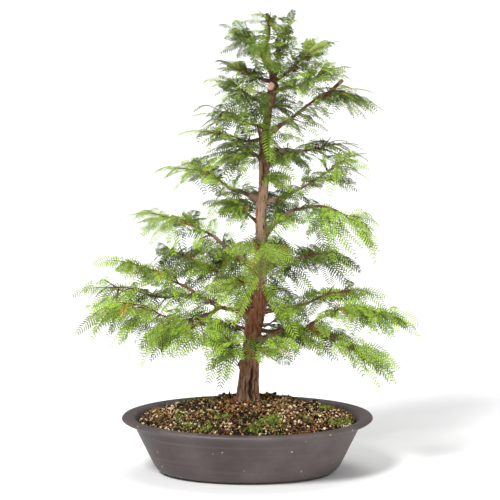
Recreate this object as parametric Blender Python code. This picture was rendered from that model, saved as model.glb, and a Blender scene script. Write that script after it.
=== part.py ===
# Dawn redwood bonsai in an oval pot: pot, soil, trunk, boughs and masses of foliage.
# Metres and degrees, +Z up. The origin is the middle of the pot's flat underside.
# +X is to the right and -Y is the front; azimuth 0 is +X and azimuth 90 is the back.

import math

import bmesh
import bpy
import numpy as np
from mathutils.bvhtree import BVHTree

# Clearances
touch_gap = 0.0003  # between two pieces that meet
leaf_gap = 0.0010  # kept from a shoot to any limb that it doesn't grow on
space_gap = 0.0016  # kept from a shoot to the border of its mass's space

# Pot: an oval whose half length and half depth shrink by the same offset lower down
pot_half_length = 0.178
pot_half_depth = 0.137
pot_segments = 36
rim_height = 0.082
foot_height = 0.003
floor_height = 0.010
# (offset in from the rim's edge, height) from the foot up the outside and over the lip
pot_outside = (
    (0.0590, 0.0000),
    (0.0590, foot_height),
    (0.0555, foot_height),
    (0.0500, 0.0065),
    (0.0450, 0.0140),
    (0.0180, 0.0690),
    (0.0130, 0.0738),
    (0.0035, 0.0752),
    (0.0000, 0.0782),
    (0.0022, 0.0812),
    (0.0070, rim_height),
    (0.0150, 0.0812),
)
# (offset in from the rim's edge, height) down the inside
pot_inside = (
    (0.0215, 0.0760),
    (0.0260, 0.0690),
    (0.0530, 0.0160),
    (0.0600, floor_height),
)

# Soil: its wall follows the pot's inside, and its top rises in low lumps to a flat spot
# under the trunk
soil_edge_height = 0.0760
soil_foot_height = 0.1000
soil_foot_radius = 0.0250
soil_rings = 7
soil_lump_height = 0.0024
soil_lump_spacing = 0.031

# Trunk: (height, x, y, radius) of its axis, from the flat cut on the soil to the tip
trunk_sides = 12
trunk_rings = 24
trunk_stations = (
    (0.1003, 0.0000, 0.0160, 0.0165),
    (0.1120, 0.0005, 0.0160, 0.0150),
    (0.1450, 0.0030, 0.0165, 0.0134),
    (0.2000, 0.0080, 0.0170, 0.0118),
    (0.2320, 0.0120, 0.0165, 0.0115),
    (0.2620, 0.0150, 0.0150, 0.0104),
    (0.3010, 0.0200, 0.0140, 0.0090),
    (0.3720, 0.0195, 0.0130, 0.0077),
    (0.4120, 0.0230, 0.0140, 0.0070),
    (0.4740, 0.0250, 0.0150, 0.0070),
    (0.5120, 0.0290, 0.0150, 0.0050),
    (0.5530, 0.0350, 0.0150, 0.0058),
    (0.5710, 0.0350, 0.0145, 0.0042),
    (0.5970, 0.0225, 0.0140, 0.0034),
    (0.6280, 0.0300, 0.0145, 0.0026),
    (0.6420, 0.0305, 0.0140, 0.0020),
)
flare_height = 0.016  # the root flare fades over this height
flare_size = 0.0045
flare_lobes = 5
flare_depth = 0.4  # of the hollows between the lobes, as a share of the flare
flare_turn = 0.7
# (height, azimuth, size) of the knots and old cuts that swell the trunk
trunk_knots = (
    (0.1530, 180.0, 0.0025),
    (0.2290, 170.0, 0.0050),
    (0.2330, 10.0, 0.0030),
    (0.5530, 20.0, 0.0040),
)
knot_height = 0.010

# Limbs: each runs out along its azimuth by reach. Its height follows
#   rise * t + arch * 4t(1 - t) + wave * sin(2 pi t), for t from 0 at its root to 1 at its tip.
# The bare share of it is a bough; the rest is the stem of a mass, which spreads to each side.
# name: (carrier, root, azimuth, reach, rise, arch, wave, bare, spread, hang)
# root is a height on the trunk, or a share of the way along another limb; hang is how far
# the side shoots point below the stem, in degrees
limb_columns = (
    "carrier", "root", "azimuth", "reach", "rise", "arch", "wave", "bare", "spread", "hang",
)
limb_rows = {
    "top_leader": ("trunk", 0.640, 200, 0.004, 0.030, 0.000, 0.000, 0.00, 0.018, -10),
    "top_right": ("trunk", 0.562, 16, 0.032, 0.120, -0.009, 0.000, 0.00, 0.048, 10),
    "top_left": ("trunk", 0.598, 188, 0.064, 0.044, 0.010, 0.000, 0.00, 0.048, 25),
    "left_1": ("trunk", 0.561, 172, 0.096, 0.002, 0.013, -0.005, 0.00, 0.060, 15),
    "left_2": ("trunk", 0.540, 205, 0.092, -0.004, 0.014, -0.014, 0.00, 0.056, 15),
    "left_3": ("trunk", 0.494, 160, 0.110, 0.000, 0.013, -0.004, 0.00, 0.060, 10),
    "left_4": ("trunk", 0.478, 192, 0.116, -0.014, 0.014, -0.008, 0.00, 0.060, 12),
    "left_5": ("trunk", 0.450, 222, 0.097, -0.013, 0.016, 0.000, 0.00, 0.054, 15),
    "left_6": ("trunk", 0.390, 172, 0.148, 0.008, 0.031, -0.010, 0.40, 0.066, 0),
    "left_7": ("trunk", 0.353, 205, 0.084, 0.012, 0.028, -0.004, 0.00, 0.056, 30),
    "left_8": ("trunk", 0.287, 180, 0.182, 0.093, 0.017, 0.001, 0.36, 0.066, 10),
    "left_9": ("trunk", 0.269, 160, 0.172, 0.037, 0.005, -0.005, 0.40, 0.066, 15),
    "left_10": ("trunk", 0.220, 186, 0.222, 0.080, 0.014, -0.009, 0.46, 0.064, 30),
    "left_11": ("left_10", 0.36, 176, 0.174, -0.009, 0.009, -0.008, 0.30, 0.070, 46),
    "left_12": ("left_10", 0.22, 215, 0.134, -0.051, 0.000, -0.007, 0.30, 0.068, 22),
    "left_13": ("left_12", 0.12, 192, 0.188, -0.028, 0.028, -0.018, 0.00, 0.068, 48),
    "left_14": ("trunk", 0.199, 146, 0.110, -0.010, 0.012, 0.000, 0.00, 0.064, 20),
    "left_15": ("trunk", 0.177, 235, 0.094, -0.026, 0.025, -0.017, 0.00, 0.058, 36),
    "right_1": ("trunk", 0.560, 8, 0.098, 0.033, 0.019, -0.006, 0.00, 0.060, 15),
    "right_2": ("trunk", 0.549, 343, 0.122, 0.022, 0.009, -0.007, 0.00, 0.056, 20),
    "right_3": ("trunk", 0.483, 12, 0.146, 0.024, 0.038, -0.011, 0.50, 0.066, 25),
    "right_4": ("trunk", 0.463, 24, 0.136, 0.011, -0.011, 0.001, 0.44, 0.064, 5),
    "right_5": ("trunk", 0.436, 62, 0.125, -0.004, 0.010, 0.000, 0.00, 0.062, 15),
    "right_6": ("trunk", 0.386, 356, 0.145, 0.076, -0.003, -0.004, 0.46, 0.068, 25),
    "right_7": ("trunk", 0.336, 346, 0.170, -0.014, 0.058, 0.000, 0.40, 0.070, 32),
    "right_8": ("trunk", 0.291, 20, 0.134, -0.011, 0.021, -0.006, 0.46, 0.066, 20),
    "right_9": ("trunk", 0.229, 5, 0.180, 0.010, 0.014, -0.009, 0.42, 0.066, 20),
    "right_10": ("trunk", 0.212, 312, 0.112, -0.001, 0.019, -0.011, 0.00, 0.062, 30),
    "right_11": ("trunk", 0.204, 38, 0.138, -0.036, 0.009, -0.005, 0.44, 0.066, 30),
    "right_12": ("trunk", 0.181, 344, 0.218, -0.044, 0.043, 0.003, 0.44, 0.066, 12),
    "right_13": ("right_12", 0.36, 356, 0.157, 0.007, 0.029, 0.004, 0.00, 0.064, 20),
    "right_14": ("trunk", 0.173, 303, 0.104, 0.000, 0.019, -0.009, 0.00, 0.056, 15),
    "front_1": ("trunk", 0.420, 268, 0.092, -0.006, 0.014, 0.000, 0.00, 0.052, 15),
    "front_2": ("trunk", 0.320, 266, 0.128, 0.006, 0.015, 0.000, 0.00, 0.062, 20),
    "front_3": ("trunk", 0.258, 248, 0.116, 0.010, 0.022, 0.000, 0.00, 0.060, 30),
    "back_1": ("trunk", 0.510, 84, 0.098, 0.012, 0.010, 0.000, 0.00, 0.060, 15),
    "back_2": ("trunk", 0.440, 118, 0.118, 0.010, 0.010, 0.000, 0.00, 0.062, 15),
    "back_3": ("trunk", 0.352, 92, 0.146, 0.020, 0.012, 0.000, 0.34, 0.066, 20),
    "back_4": ("trunk", 0.274, 112, 0.158, 0.012, 0.012, 0.000, 0.36, 0.068, 25),
    "back_5": ("trunk", 0.226, 76, 0.164, 0.000, 0.014, 0.000, 0.38, 0.068, 30),
}
bough_sides = 6
bough_rings = 6
limb_thin = 0.0011  # radius of a limb as thin as a twig
limb_taper = 0.0150  # added to that for each metre still to go
stem_sides = 3
stem_rings = 4
stem_tip_share = 0.85  # of its tip shoot's length, how much runs on past the stem's end
tip_sink = 0.0040  # how far inside its stem the tip shoot starts
stem_least = 0.25  # of the limb's length, how much is stem at least
clear_of_trunk = 0.022  # no shoot grows nearer than this to the trunk's middle
nearly_up = np.array((0.03, 0.05, 1.0))  # upright enough, and in line with no limb

# Shoots: a bare foot, then pairs of swept teeth on a ridged spine
shoot_length = 0.066
shoot_half_width = 0.0205
shoot_foot_share = 0.24
shoot_thickness = 0.0015
shoot_notch = 0.0016  # half width of the spine between two teeth
shoot_end_share = 0.80  # of its length, where the last tooth ends
shoot_sweep = 0.52  # how far forward a tooth points, as a share of its width
shoot_narrowing = 0.30  # of its width, what is lost toward the tip
shoot_droop = 0.20
shoot_pairs = 2
shoot_spacing = 0.0125  # along the stem
shoot_tries = 16
shoot_tries_per_side = 4
shoot_trial_loss = 0.03  # of its length, at each new try
lowest_leaf = 0.110  # nothing hangs lower than this
far_stem = 0.25  # stems with this much between them have no border

# How a shoot lies, in degrees: (least, most), or (at the stem's root, at its tip)
tip_pairs = 3
tip_turn = (-6.0, 6.0)
tip_pitch = (-4.0, 8.0)
tip_length = 1.4  # the most, as a share of the mass's spread
side_turn = (66.0, 40.0)
side_turn_play = (-14.0, 14.0)
side_pitch = (-24.0, 30.0)
side_length = (1.22, 0.88)  # as a share of the mass's spread
side_length_play = (0.86, 1.06)
side_longest = 1.25  # as a share of a shoot's length
side_roll = (-22.0, 22.0)

colours = {
    "pot": ((0.110, 0.085, 0.076), 0.55),
    "soil": ((0.095, 0.055, 0.030), 0.95),
    "bark": ((0.170, 0.085, 0.045), 0.85),
    "foliage": ((0.150, 0.300, 0.040), 0.60),
}


def clear_scene():
    for thing in list(bpy.data.objects):
        bpy.data.objects.remove(thing, do_unlink=True)


def material(name):
    colour, roughness = colours[name]
    made = bpy.data.materials.new(name)
    made.use_nodes = True
    shader = made.node_tree.nodes["Principled BSDF"]
    shader.inputs["Base Color"].default_value = (*colour, 1.0)
    shader.inputs["Roughness"].default_value = roughness
    shader.inputs["Metallic"].default_value = 0.0
    return made


def add_object(name, shell, finish=None):
    """A mesh object from a shell, which is its points and its faces."""
    mesh = bpy.data.meshes.new(name)
    mesh.from_pydata([tuple(p) for p in shell[0]], [], shell[1])
    made = bpy.data.objects.new(name, mesh)
    bpy.context.scene.collection.objects.link(made)
    if finish:
        mesh.materials.append(finish)
    return made


def smooth_rows(rows, places):
    """Rows read at places of their first column, on a smooth curve through them."""
    rows = np.array(rows, float)
    slopes = np.gradient(rows[:, 1:], rows[:, 0], axis=0)
    index = np.clip(np.searchsorted(rows[:, 0], places, side="right") - 1, 0, len(rows) - 2)
    span = rows[index + 1, 0] - rows[index, 0]
    u = ((places - rows[index, 0]) / span)[:, None]
    start, end = rows[index, 1:], rows[index + 1, 1:]
    pull_start, pull_end = slopes[index] * span[:, None], slopes[index + 1] * span[:, None]
    return (
        start * (2 * u**3 - 3 * u**2 + 1)
        + end * (3 * u**2 - 2 * u**3)
        + pull_start * (u**3 - 2 * u**2 + u)
        + pull_end * (u**3 - u**2)
    )


def ring_faces(rings, around):
    """Quads between rings of points, and an end cap on the first and the last ring."""
    faces = []
    for r in range(rings - 1):
        for k in range(around):
            a, b = r * around + k, r * around + (k + 1) % around
            faces.append((a, b, b + around, a + around))
    faces.append(tuple(reversed(range(around))))
    faces.append(tuple(range((rings - 1) * around, rings * around)))
    return faces


def turned(direction, axis, degrees):
    """A direction turned about an axis."""
    c, s = math.cos(math.radians(degrees)), math.sin(math.radians(degrees))
    return direction * c + np.cross(axis, direction) * s + axis * np.dot(axis, direction) * (1 - c)


def unit(vector):
    return vector / np.linalg.norm(vector)


def between(ends, share):
    """The value this share of the way from one end to the other."""
    return ends[0] + (ends[1] - ends[0]) * share


# Pot and soil


def oval_ring(offset, height, centre_y=0.0):
    angle = np.arange(pot_segments) * 2 * math.pi / pot_segments
    return np.stack(
        [
            (pot_half_length - offset) * np.cos(angle),
            centre_y + (pot_half_depth - offset) * np.sin(angle),
            np.full(pot_segments, height),
        ],
        axis=1,
    )


def make_pot(finish):
    rings = [oval_ring(offset, height) for offset, height in pot_outside + pot_inside]
    pot = add_object("pot", (np.concatenate(rings), ring_faces(len(rings), pot_segments)), finish)
    pot.data.shade_smooth()
    pot.data.set_sharp_from_angle(angle=math.radians(40))
    return pot


def soil_wall():
    """(offset, height) of the soil's wall, one gap inside the pot's."""
    offsets, heights = zip(*pot_inside[::-1])
    slope = (offsets[1] - offsets[2]) / (heights[2] - heights[1])
    aside = 2 * touch_gap * math.hypot(1, slope)
    wall = [(offset + aside, height) for offset, height in zip(offsets[:3], heights[:3])]
    wall[0] = (offsets[0] + aside, heights[0] + touch_gap)
    top = offsets[2] - slope * (soil_edge_height - heights[2])
    wall.append((max(top, offsets[3]) + aside, soil_edge_height))
    return wall


def soil_lumps(ring, share):
    """Heights of lumps at even steps in x and y, which fade at the wall and at the foot."""
    x, y = math.pi * ring[:, 0] / soil_lump_spacing, math.pi * ring[:, 1] / soil_lump_spacing
    return soil_lump_height * np.cos(x) * np.sin(y) * math.sin(share * math.pi)


def make_soil(finish):
    wall = soil_wall()
    rings = [oval_ring(offset, height) for offset, height in wall]
    edge = rings[-1]
    foot_x, foot_y = trunk_stations[0][1], trunk_stations[0][2]
    angle = np.arange(pot_segments) * 2 * math.pi / pot_segments
    foot = np.stack(
        [
            foot_x + soil_foot_radius * np.cos(angle),
            foot_y + soil_foot_radius * np.sin(angle),
            np.full(pot_segments, soil_foot_height),
        ],
        axis=1,
    )
    for k in range(1, soil_rings):
        share = k / (soil_rings - 1)
        ring = edge * (1 - share) + foot * share
        ring[:, 2] = soil_edge_height + (soil_foot_height - soil_edge_height) * math.sin(
            share * math.pi / 2
        )
        ring[:, 2] += soil_lumps(ring, share)
        rings.append(ring)
    soil = add_object("soil", (np.concatenate(rings), ring_faces(len(rings), pot_segments)), finish)
    soil.data.shade_smooth()
    return soil


# Trunk


def trunk_shell(extra=0.0):
    """Level rings up the trunk: round, with a lobed root flare and its knots."""
    heights = np.linspace(trunk_stations[0][0], trunk_stations[-1][0], trunk_rings)
    rows = smooth_rows(trunk_stations, heights)
    levels = heights.copy()
    levels[0] -= extra
    levels[-1] += extra
    angle = np.arange(trunk_sides) * 2 * math.pi / trunk_sides
    points = []
    for height, level, (x, y, radius) in zip(heights, levels, rows):
        fade = math.exp(-(height - heights[0]) / flare_height)
        lobes = 1 - flare_depth + flare_depth * np.cos(flare_lobes * angle + flare_turn)
        size = radius + flare_size * fade * lobes
        for knot, azimuth, swell in trunk_knots:
            near = math.exp(-(((height - knot) / knot_height) ** 2))
            size = size + swell * near * np.clip(np.cos(angle - math.radians(azimuth)), 0, 1) ** 2
        size = size + extra
        ring = [x + size * np.cos(angle), y + size * np.sin(angle), np.full(trunk_sides, level)]
        points.append(np.stack(ring, axis=1))
    return np.concatenate(points), ring_faces(trunk_rings, trunk_sides)


def make_trunk(finish):
    trunk = add_object("trunk", trunk_shell(), finish)
    trunk.data.shade_smooth()
    return trunk


# Limbs


class Limb:
    """One bough and the stem of the mass that it ends in."""

    def __init__(self, name, row, limbs):
        for column, value in zip(limb_columns, row):
            setattr(self, column, value)
        self.name = name
        if self.carrier in limbs:
            self.origin = limbs[self.carrier].point(self.root)
        else:
            place = smooth_rows(trunk_stations, np.array([self.root]))[0]
            self.origin = np.array([place[0], place[1], self.root])
        along = math.radians(self.azimuth)
        self.outward = np.array([math.cos(along), math.sin(along), 0.0])

    def point(self, t):
        height = self.rise * t + self.arch * 4 * t * (1 - t) + self.wave * math.sin(2 * math.pi * t)
        return self.origin + self.outward * self.reach * t + np.array([0.0, 0.0, height])

    def tangent(self, t):
        return unit(self.point(t + 0.01) - self.point(t - 0.01))

    def length(self, start=0.0, end=1.0):
        places = [self.point(t) for t in np.linspace(start, end, 12)]
        return sum(np.linalg.norm(b - a) for a, b in zip(places, places[1:]))

    def radius(self, t):
        return limb_thin + limb_taper * self.length() * (1 - t) ** 1.3

    def stem_start(self):
        """Where the mass's stem begins: one gap past the bough's end, or at the root."""
        step = 0.001
        pace = np.linalg.norm(self.point(self.bare + step) - self.point(self.bare)) / step
        return self.bare + touch_gap / pace if self.bare else 0.0

    def stem_end(self):
        """Where the stem's last shoot takes over."""
        past = stem_tip_share * shoot_length / self.length()
        return max(1 - past, self.stem_start() + stem_least)


def tube(limb, start, end, rings, sides, extra=0.0):
    """A stretch of a limb as a tube, each ring square to the limb, carried along without twist."""
    places = np.linspace(start, end, rings)
    side = unit(np.cross(limb.tangent(start), nearly_up))
    angle = np.arange(sides) * 2 * math.pi / sides
    points = []
    for t in places:
        ahead = limb.tangent(t)
        side = unit(side - ahead * np.dot(side, ahead))
        up = np.cross(ahead, side)
        round_it = np.cos(angle)[:, None] * side + np.sin(angle)[:, None] * up
        points.append(limb.point(t) + (limb.radius(t) + extra) * round_it)
    return np.concatenate(points), ring_faces(rings, sides)


def bough_shell(limb, extra=0.0):
    swell = extra / math.cos(math.pi / bough_sides)
    return tube(limb, 0.0, limb.bare, bough_rings, bough_sides, swell)


def stem_shell(limb, extra=0.0):
    swell = extra / math.cos(math.pi / stem_sides)
    return tube(limb, limb.stem_start(), limb.stem_end(), stem_rings, stem_sides, swell)


def shoot_shell(root, direction, up, length, half_width, pairs):
    """A spray: a ridged spine that droops, a bare foot, then pairs of teeth swept forward."""
    across = unit(np.cross(up, direction))
    up = np.cross(direction, across)

    def place(along, sideways, lift):
        share = along / length
        drop = shoot_droop * (share**2 * length + abs(sideways))
        return root + direction * along + across * sideways + up * lift + np.array([0, 0, -drop])

    notches = np.linspace(shoot_foot_share, shoot_end_share, pairs + 1) * length
    points = [
        place(0.0, -shoot_notch, 0.0),
        place(0.0, shoot_notch, 0.0),
        place(0.0, 0.0, shoot_thickness),
    ]
    faces = [(0, 2, 1)]
    below = 0
    for k, along in enumerate(notches):
        here = len(points)
        points += [
            place(along, -shoot_notch, 0.0),
            place(along, shoot_notch, 0.0),
            place(along, 0.0, shoot_thickness),
        ]
        if k == 0:
            faces += [(0, 1, here + 1, here), (1, 2, here + 2, here + 1), (2, 0, here, here + 2)]
        else:
            wide = half_width * (1 - shoot_narrowing * ((k - 0.5) / pairs) ** 2)
            tip = (notches[k - 1] + along) / 2 + shoot_sweep * wide
            left, right = here + 3, here + 4
            points += [place(tip, -wide, 0.0), place(tip, wide, 0.0)]
            # upper side: two teeth and the ridge between them
            faces += [(below, left, below + 2), (left, here, below + 2)]
            faces += [(here, here + 2, below + 2)]
            faces += [(below + 1, below + 2, right), (right, below + 2, here + 1)]
            faces += [(here + 1, below + 2, here + 2)]
            # underside: flat across the teeth and the spine
            faces += [(below, here, left), (below + 1, right, here + 1)]
            faces += [(below, below + 1, here + 1, here)]
        below = here
    points.append(place(length, 0.0, 0.0))
    end = len(points) - 1
    faces += [(below + 2, below, end), (below + 1, below + 2, end), (below, below + 1, end)]
    return np.array(points), faces


# Masses


def tree_of(shell):
    return BVHTree.FromPolygons([tuple(p) for p in shell[0]], shell[1])


def line_distance(points, line):
    """How far each point is from a line of several stretches."""
    nearest = np.full(len(points), np.inf)
    for a, b in zip(line, line[1:]):
        along = b - a
        t = np.clip((points - a) @ along / np.dot(along, along), 0, 1)
        nearest = np.minimum(nearest, np.linalg.norm(points - a - t[:, None] * along, axis=1))
    return nearest


def in_own_space(name, points, stems):
    """A mass's space holds the points nearer to its stem than to any other stem."""
    own = line_distance(points, stems[name])
    if any(points[:, 2] < lowest_leaf):
        return False
    for other, line in stems.items():
        if other == name or np.linalg.norm(line.mean(axis=0) - points[0]) > far_stem:
            continue
        if any(line_distance(points, line) - own < 2 * space_gap):
            return False
    return True


def shoots_of(limb, stems, limb_trees):
    """Side shoots at even steps along the stem, to alternate sides, and one at its tip."""
    chance = np.random.default_rng(sum(map(ord, limb.name)))
    start, end = limb.stem_start(), limb.stem_end()
    first = start if limb.bare else min(start + clear_of_trunk / limb.length(), (start + end) / 2)
    count = max(5, round(limb.length(first, end) / shoot_spacing))
    places = list(first + (end - first) * (np.arange(count) + 0.5) / count)
    kept = []
    for k, t in enumerate([end - tip_sink / limb.length(), *places]):
        for trial in range(shoot_tries):
            ahead = limb.tangent(t)
            up = unit(nearly_up - ahead * np.dot(ahead, nearly_up))
            out = (t - start) / (1 - start)
            if k == 0:
                turn, pitch = chance.uniform(*tip_turn), chance.uniform(*tip_pitch)
                length = min(shoot_length, tip_length * limb.spread)
            else:
                side = 1 if (k + trial // shoot_tries_per_side) % 2 else -1
                turn = side * (between(side_turn, out) + chance.uniform(*side_turn_play))
                pitch = chance.uniform(*side_pitch) - limb.hang
                length = min(limb.spread * between(side_length, out), side_longest * shoot_length)
                length *= chance.uniform(*side_length_play)
            length *= 1 - shoot_trial_loss * trial
            level = turned(ahead, up, turn)
            across = unit(np.cross(up, level))
            direction = turned(level, across, -pitch)
            roll = turned(np.cross(direction, across), direction, chance.uniform(*side_roll))
            wide = shoot_half_width * min(1.0, length / shoot_length)
            pairs = shoot_pairs if k else tip_pairs
            shell = shoot_shell(limb.point(t), direction, roll, length, wide, pairs)
            away = shell[0][3:]
            if not in_own_space(limb.name, away, stems):
                continue
            if all(not tree.overlap(tree_of(shell)) for tree in limb_trees):
                kept.append(shell)
                break
    print(f"{limb.name}: {len(kept)} of {len(places) + 1} shoots")
    return kept


def joined(name, shells, finish, cutters):
    """One sound body from a stem and its shoots. A union that fails twice loses a shoot."""
    shells = list(shells)
    while True:
        for solver in ("EXACT", "MANIFOLD"):
            body = fused(name, shells, finish, cutters, solver)
            if is_sound(body):
                return body
            bpy.data.objects.remove(body, do_unlink=True)
        print(name, "loses a shoot")
        shells.pop()


def fused(name, shells, finish, cutters, solver):
    """One union on a collection joins the shells, which are then cut clear of the carrier."""
    body = add_object(name, shells[0], finish)
    group = bpy.data.collections.new(name + "_shoots")
    bpy.context.scene.collection.children.link(group)
    for k, shell in enumerate(shells[1:]):
        shoot = add_object(f"{name}_shoot_{k}", shell)
        bpy.context.scene.collection.objects.unlink(shoot)
        group.objects.link(shoot)
    if len(shells) > 1:
        union = body.modifiers.new("union", "BOOLEAN")
        union.operation = "UNION"
        union.operand_type = "COLLECTION"
        union.collection = group
        union.solver = solver
    for k, cutter in enumerate(cutters):
        cut = body.modifiers.new(f"cut_{k}", "BOOLEAN")
        cut.operation = "DIFFERENCE"
        cut.object = cutter
        cut.solver = solver
    graph = bpy.context.evaluated_depsgraph_get()
    finished = bpy.data.meshes.new_from_object(body.evaluated_get(graph))
    body.modifiers.clear()
    body.data = finished
    for shoot in list(group.objects):
        bpy.data.objects.remove(shoot, do_unlink=True)
    bpy.data.collections.remove(group)
    keep_largest(body)
    return body


def is_sound(body):
    """Closed, with each edge between two faces that point the same way, also once welded."""
    mesh = bmesh.new()
    mesh.from_mesh(body.data)
    bmesh.ops.triangulate(mesh, faces=mesh.faces)
    sound = len(mesh.faces) > 0
    for weld in (0.0, 0.0000001):
        if weld:
            bmesh.ops.remove_doubles(mesh, verts=mesh.verts, dist=weld)
        sound = sound and all(len(e.link_faces) == 2 and e.is_contiguous for e in mesh.edges)
    mesh.free()
    return sound


def keep_largest(body):
    """Drops the loose scraps and the walls of any sealed hollow."""
    mesh = bmesh.new()
    mesh.from_mesh(body.data)
    waiting, groups = set(mesh.verts), []
    while waiting:
        group, edge = set(), [waiting.pop()]
        while edge:
            vertex = edge.pop()
            group.add(vertex)
            for link in vertex.link_edges:
                other = link.other_vert(vertex)
                if other in waiting:
                    waiting.remove(other)
                    edge.append(other)
        groups.append(group)
    groups.sort(key=len)
    for group in groups[:-1]:
        bmesh.ops.delete(mesh, geom=list(group), context="VERTS")
    mesh.to_mesh(body.data)
    mesh.free()


def hide_cutter(cutter):
    cutter.hide_render = True
    cutter.display_type = "WIRE"


def main():
    clear_scene()
    finishes = {name: material(name) for name in colours}
    make_pot(finishes["pot"])
    make_soil(finishes["soil"])
    make_trunk(finishes["bark"])

    limbs = {}
    for name, row in limb_rows.items():
        limbs[name] = Limb(name, row, limbs)
    boughs = {name: limb for name, limb in limbs.items() if limb.bare}
    trunk_gap = touch_gap / math.cos(math.pi / trunk_sides)
    cutters = {"trunk": add_object("cut_trunk", trunk_shell(trunk_gap))}
    for limb in boughs.values():
        cutters[limb.name] = add_object("cut_" + limb.name, bough_shell(limb, touch_gap))
    for cutter in cutters.values():
        hide_cutter(cutter)

    for limb in boughs.values():
        joined("bough_" + limb.name, [bough_shell(limb)], finishes["bark"], [cutters[limb.carrier]])

    stems = {
        limb.name: np.array([limb.point(t) for t in np.linspace(limb.stem_start(), 1.0, 7)])
        for limb in limbs.values()
    }
    wide_trees = {"trunk": tree_of(trunk_shell(leaf_gap))}
    for limb in boughs.values():
        wide_trees[limb.name] = tree_of(bough_shell(limb, leaf_gap))
    stem_trees = {limb.name: tree_of(stem_shell(limb, leaf_gap)) for limb in limbs.values()}
    total = 0
    for limb in limbs.values():
        own = limb.name if limb.bare else limb.carrier
        others = [tree for name, tree in wide_trees.items() if name != own or name == "trunk"]
        others += [tree for name, tree in stem_trees.items() if name != limb.name]
        shoots = shoots_of(limb, stems, others)
        total += len(shoots)
        cut = [] if limb.bare else [cutters[limb.carrier]]
        joined("mass_" + limb.name, [stem_shell(limb), *shoots], finishes["foliage"], cut)
    print(f"{len(boughs)} boughs, {len(limbs)} masses, {total} shoots")


main()
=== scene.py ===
import math

import bpy
import numpy as np
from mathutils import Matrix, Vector


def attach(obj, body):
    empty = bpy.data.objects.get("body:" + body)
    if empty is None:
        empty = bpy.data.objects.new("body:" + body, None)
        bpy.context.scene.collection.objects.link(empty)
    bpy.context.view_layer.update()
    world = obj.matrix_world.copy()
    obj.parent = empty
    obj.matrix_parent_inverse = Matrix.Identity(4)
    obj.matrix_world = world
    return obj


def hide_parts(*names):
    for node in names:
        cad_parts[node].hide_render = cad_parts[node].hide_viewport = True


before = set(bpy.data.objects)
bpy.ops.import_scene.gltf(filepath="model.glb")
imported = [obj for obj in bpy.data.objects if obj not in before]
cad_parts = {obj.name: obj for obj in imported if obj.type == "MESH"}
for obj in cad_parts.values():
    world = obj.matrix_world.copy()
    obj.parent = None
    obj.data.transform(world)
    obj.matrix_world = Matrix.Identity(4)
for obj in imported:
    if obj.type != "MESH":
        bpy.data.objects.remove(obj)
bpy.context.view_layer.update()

# Dawn redwood bonsai in an oval unglazed pot. Metres, +Z up, the front is -Y.
# Everything grows from the rows of stations and limbs below, with seeded chance.

upward = np.array([0.0, 0.0, 1.0])
nearlyUp = np.array([0.03, 0.05, 1.0])  # upright enough, and in line with no limb
fullTurn = 2 * math.pi


# Each vector along the last axis divided by its own length
def unit(vectors):
    return vectors / np.maximum(np.linalg.norm(vectors, axis=-1, keepdims=True), 1e-12)


# The part of a vector that is square to the line ahead, made one long
def squareTo(ahead, vector):
    return unit(vector - ahead * np.dot(ahead, vector))


# Rotation about an axis by Rodrigues' rule, for one vector
def turned(vector, axis, degrees):
    c, s = math.cos(math.radians(degrees)), math.sin(math.radians(degrees))
    return vector * c + np.cross(axis, vector) * s + axis * np.dot(axis, vector) * (1 - c)


# A direction that leaves the line ahead: turned about up, then raised about the axis across,
# which is given too
def leaving(ahead, up, turn, pitch):
    level = turned(ahead, up, turn)
    across = unit(np.cross(up, level))
    return turned(level, across, -pitch), across


# The unit vector with this azimuth and this height above the level, in degrees
def aim(azimuth, pitch=0.0):
    a, p = math.radians(azimuth), math.radians(pitch)
    return np.array([math.cos(a) * math.cos(p), math.sin(a) * math.cos(p), math.sin(p)])


# The value at a share of the way from one end to the other
def between(ends, share):
    return ends[0] + (ends[1] - ends[0]) * share


# How far a value lies on the way from low to high, from 0 to 1
def shareOf(value, low, high):
    return np.clip((value - low) / (high - low), 0, 1)


# Even angles round a full turn
def roundAngles(count):
    return np.arange(count) * fullTurn / count


# The sum of a name's letters, which seeds its own draws
def seedOf(name):
    return sum(map(ord, name))


# Value noise: a number for each corner of a lattice of unit cubes, blended by a smooth step
# along each axis. It gives 0 to 1 for arrays of x, y and z.
def softNoise(x, y, z, seed):
    points = np.stack(np.broadcast_arrays(x, y, z), -1).astype(float)
    cell = np.floor(points).astype(np.int64)
    f = points - cell
    f = f * f * (3 - 2 * f)
    total = 0.0
    for corner in range(8):
        step = np.array([corner & 1, corner >> 1 & 1, corner >> 2 & 1])
        c = cell + step
        h = (c[..., 0] * 374761393 + c[..., 1] * 668265263 + c[..., 2] * 1274126177 + seed * 8191)
        h = h & 0xFFFFFFFF
        h = ((h ^ (h >> 13)) * 1103515245) & 0xFFFFFFFF
        value = ((h ^ (h >> 16)) & 0xFFFF) / 65535
        total = total + value * np.prod(np.where(step == 1, f, 1 - f), axis=-1)
    return total


# The same noise wrapped round a tube, so that it has no seam
def wrappedNoise(angle, along, lumpsRound, lumpsUp, seed):
    return softNoise(np.cos(angle) * lumpsRound, np.sin(angle) * lumpsRound, along * lumpsUp, seed)


# The sum of size sin(waves angle + turn) over rows of those three
def ripple(rows, angle):
    return sum(size * np.sin(waves * angle + turn) for size, waves, turn in rows)


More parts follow.
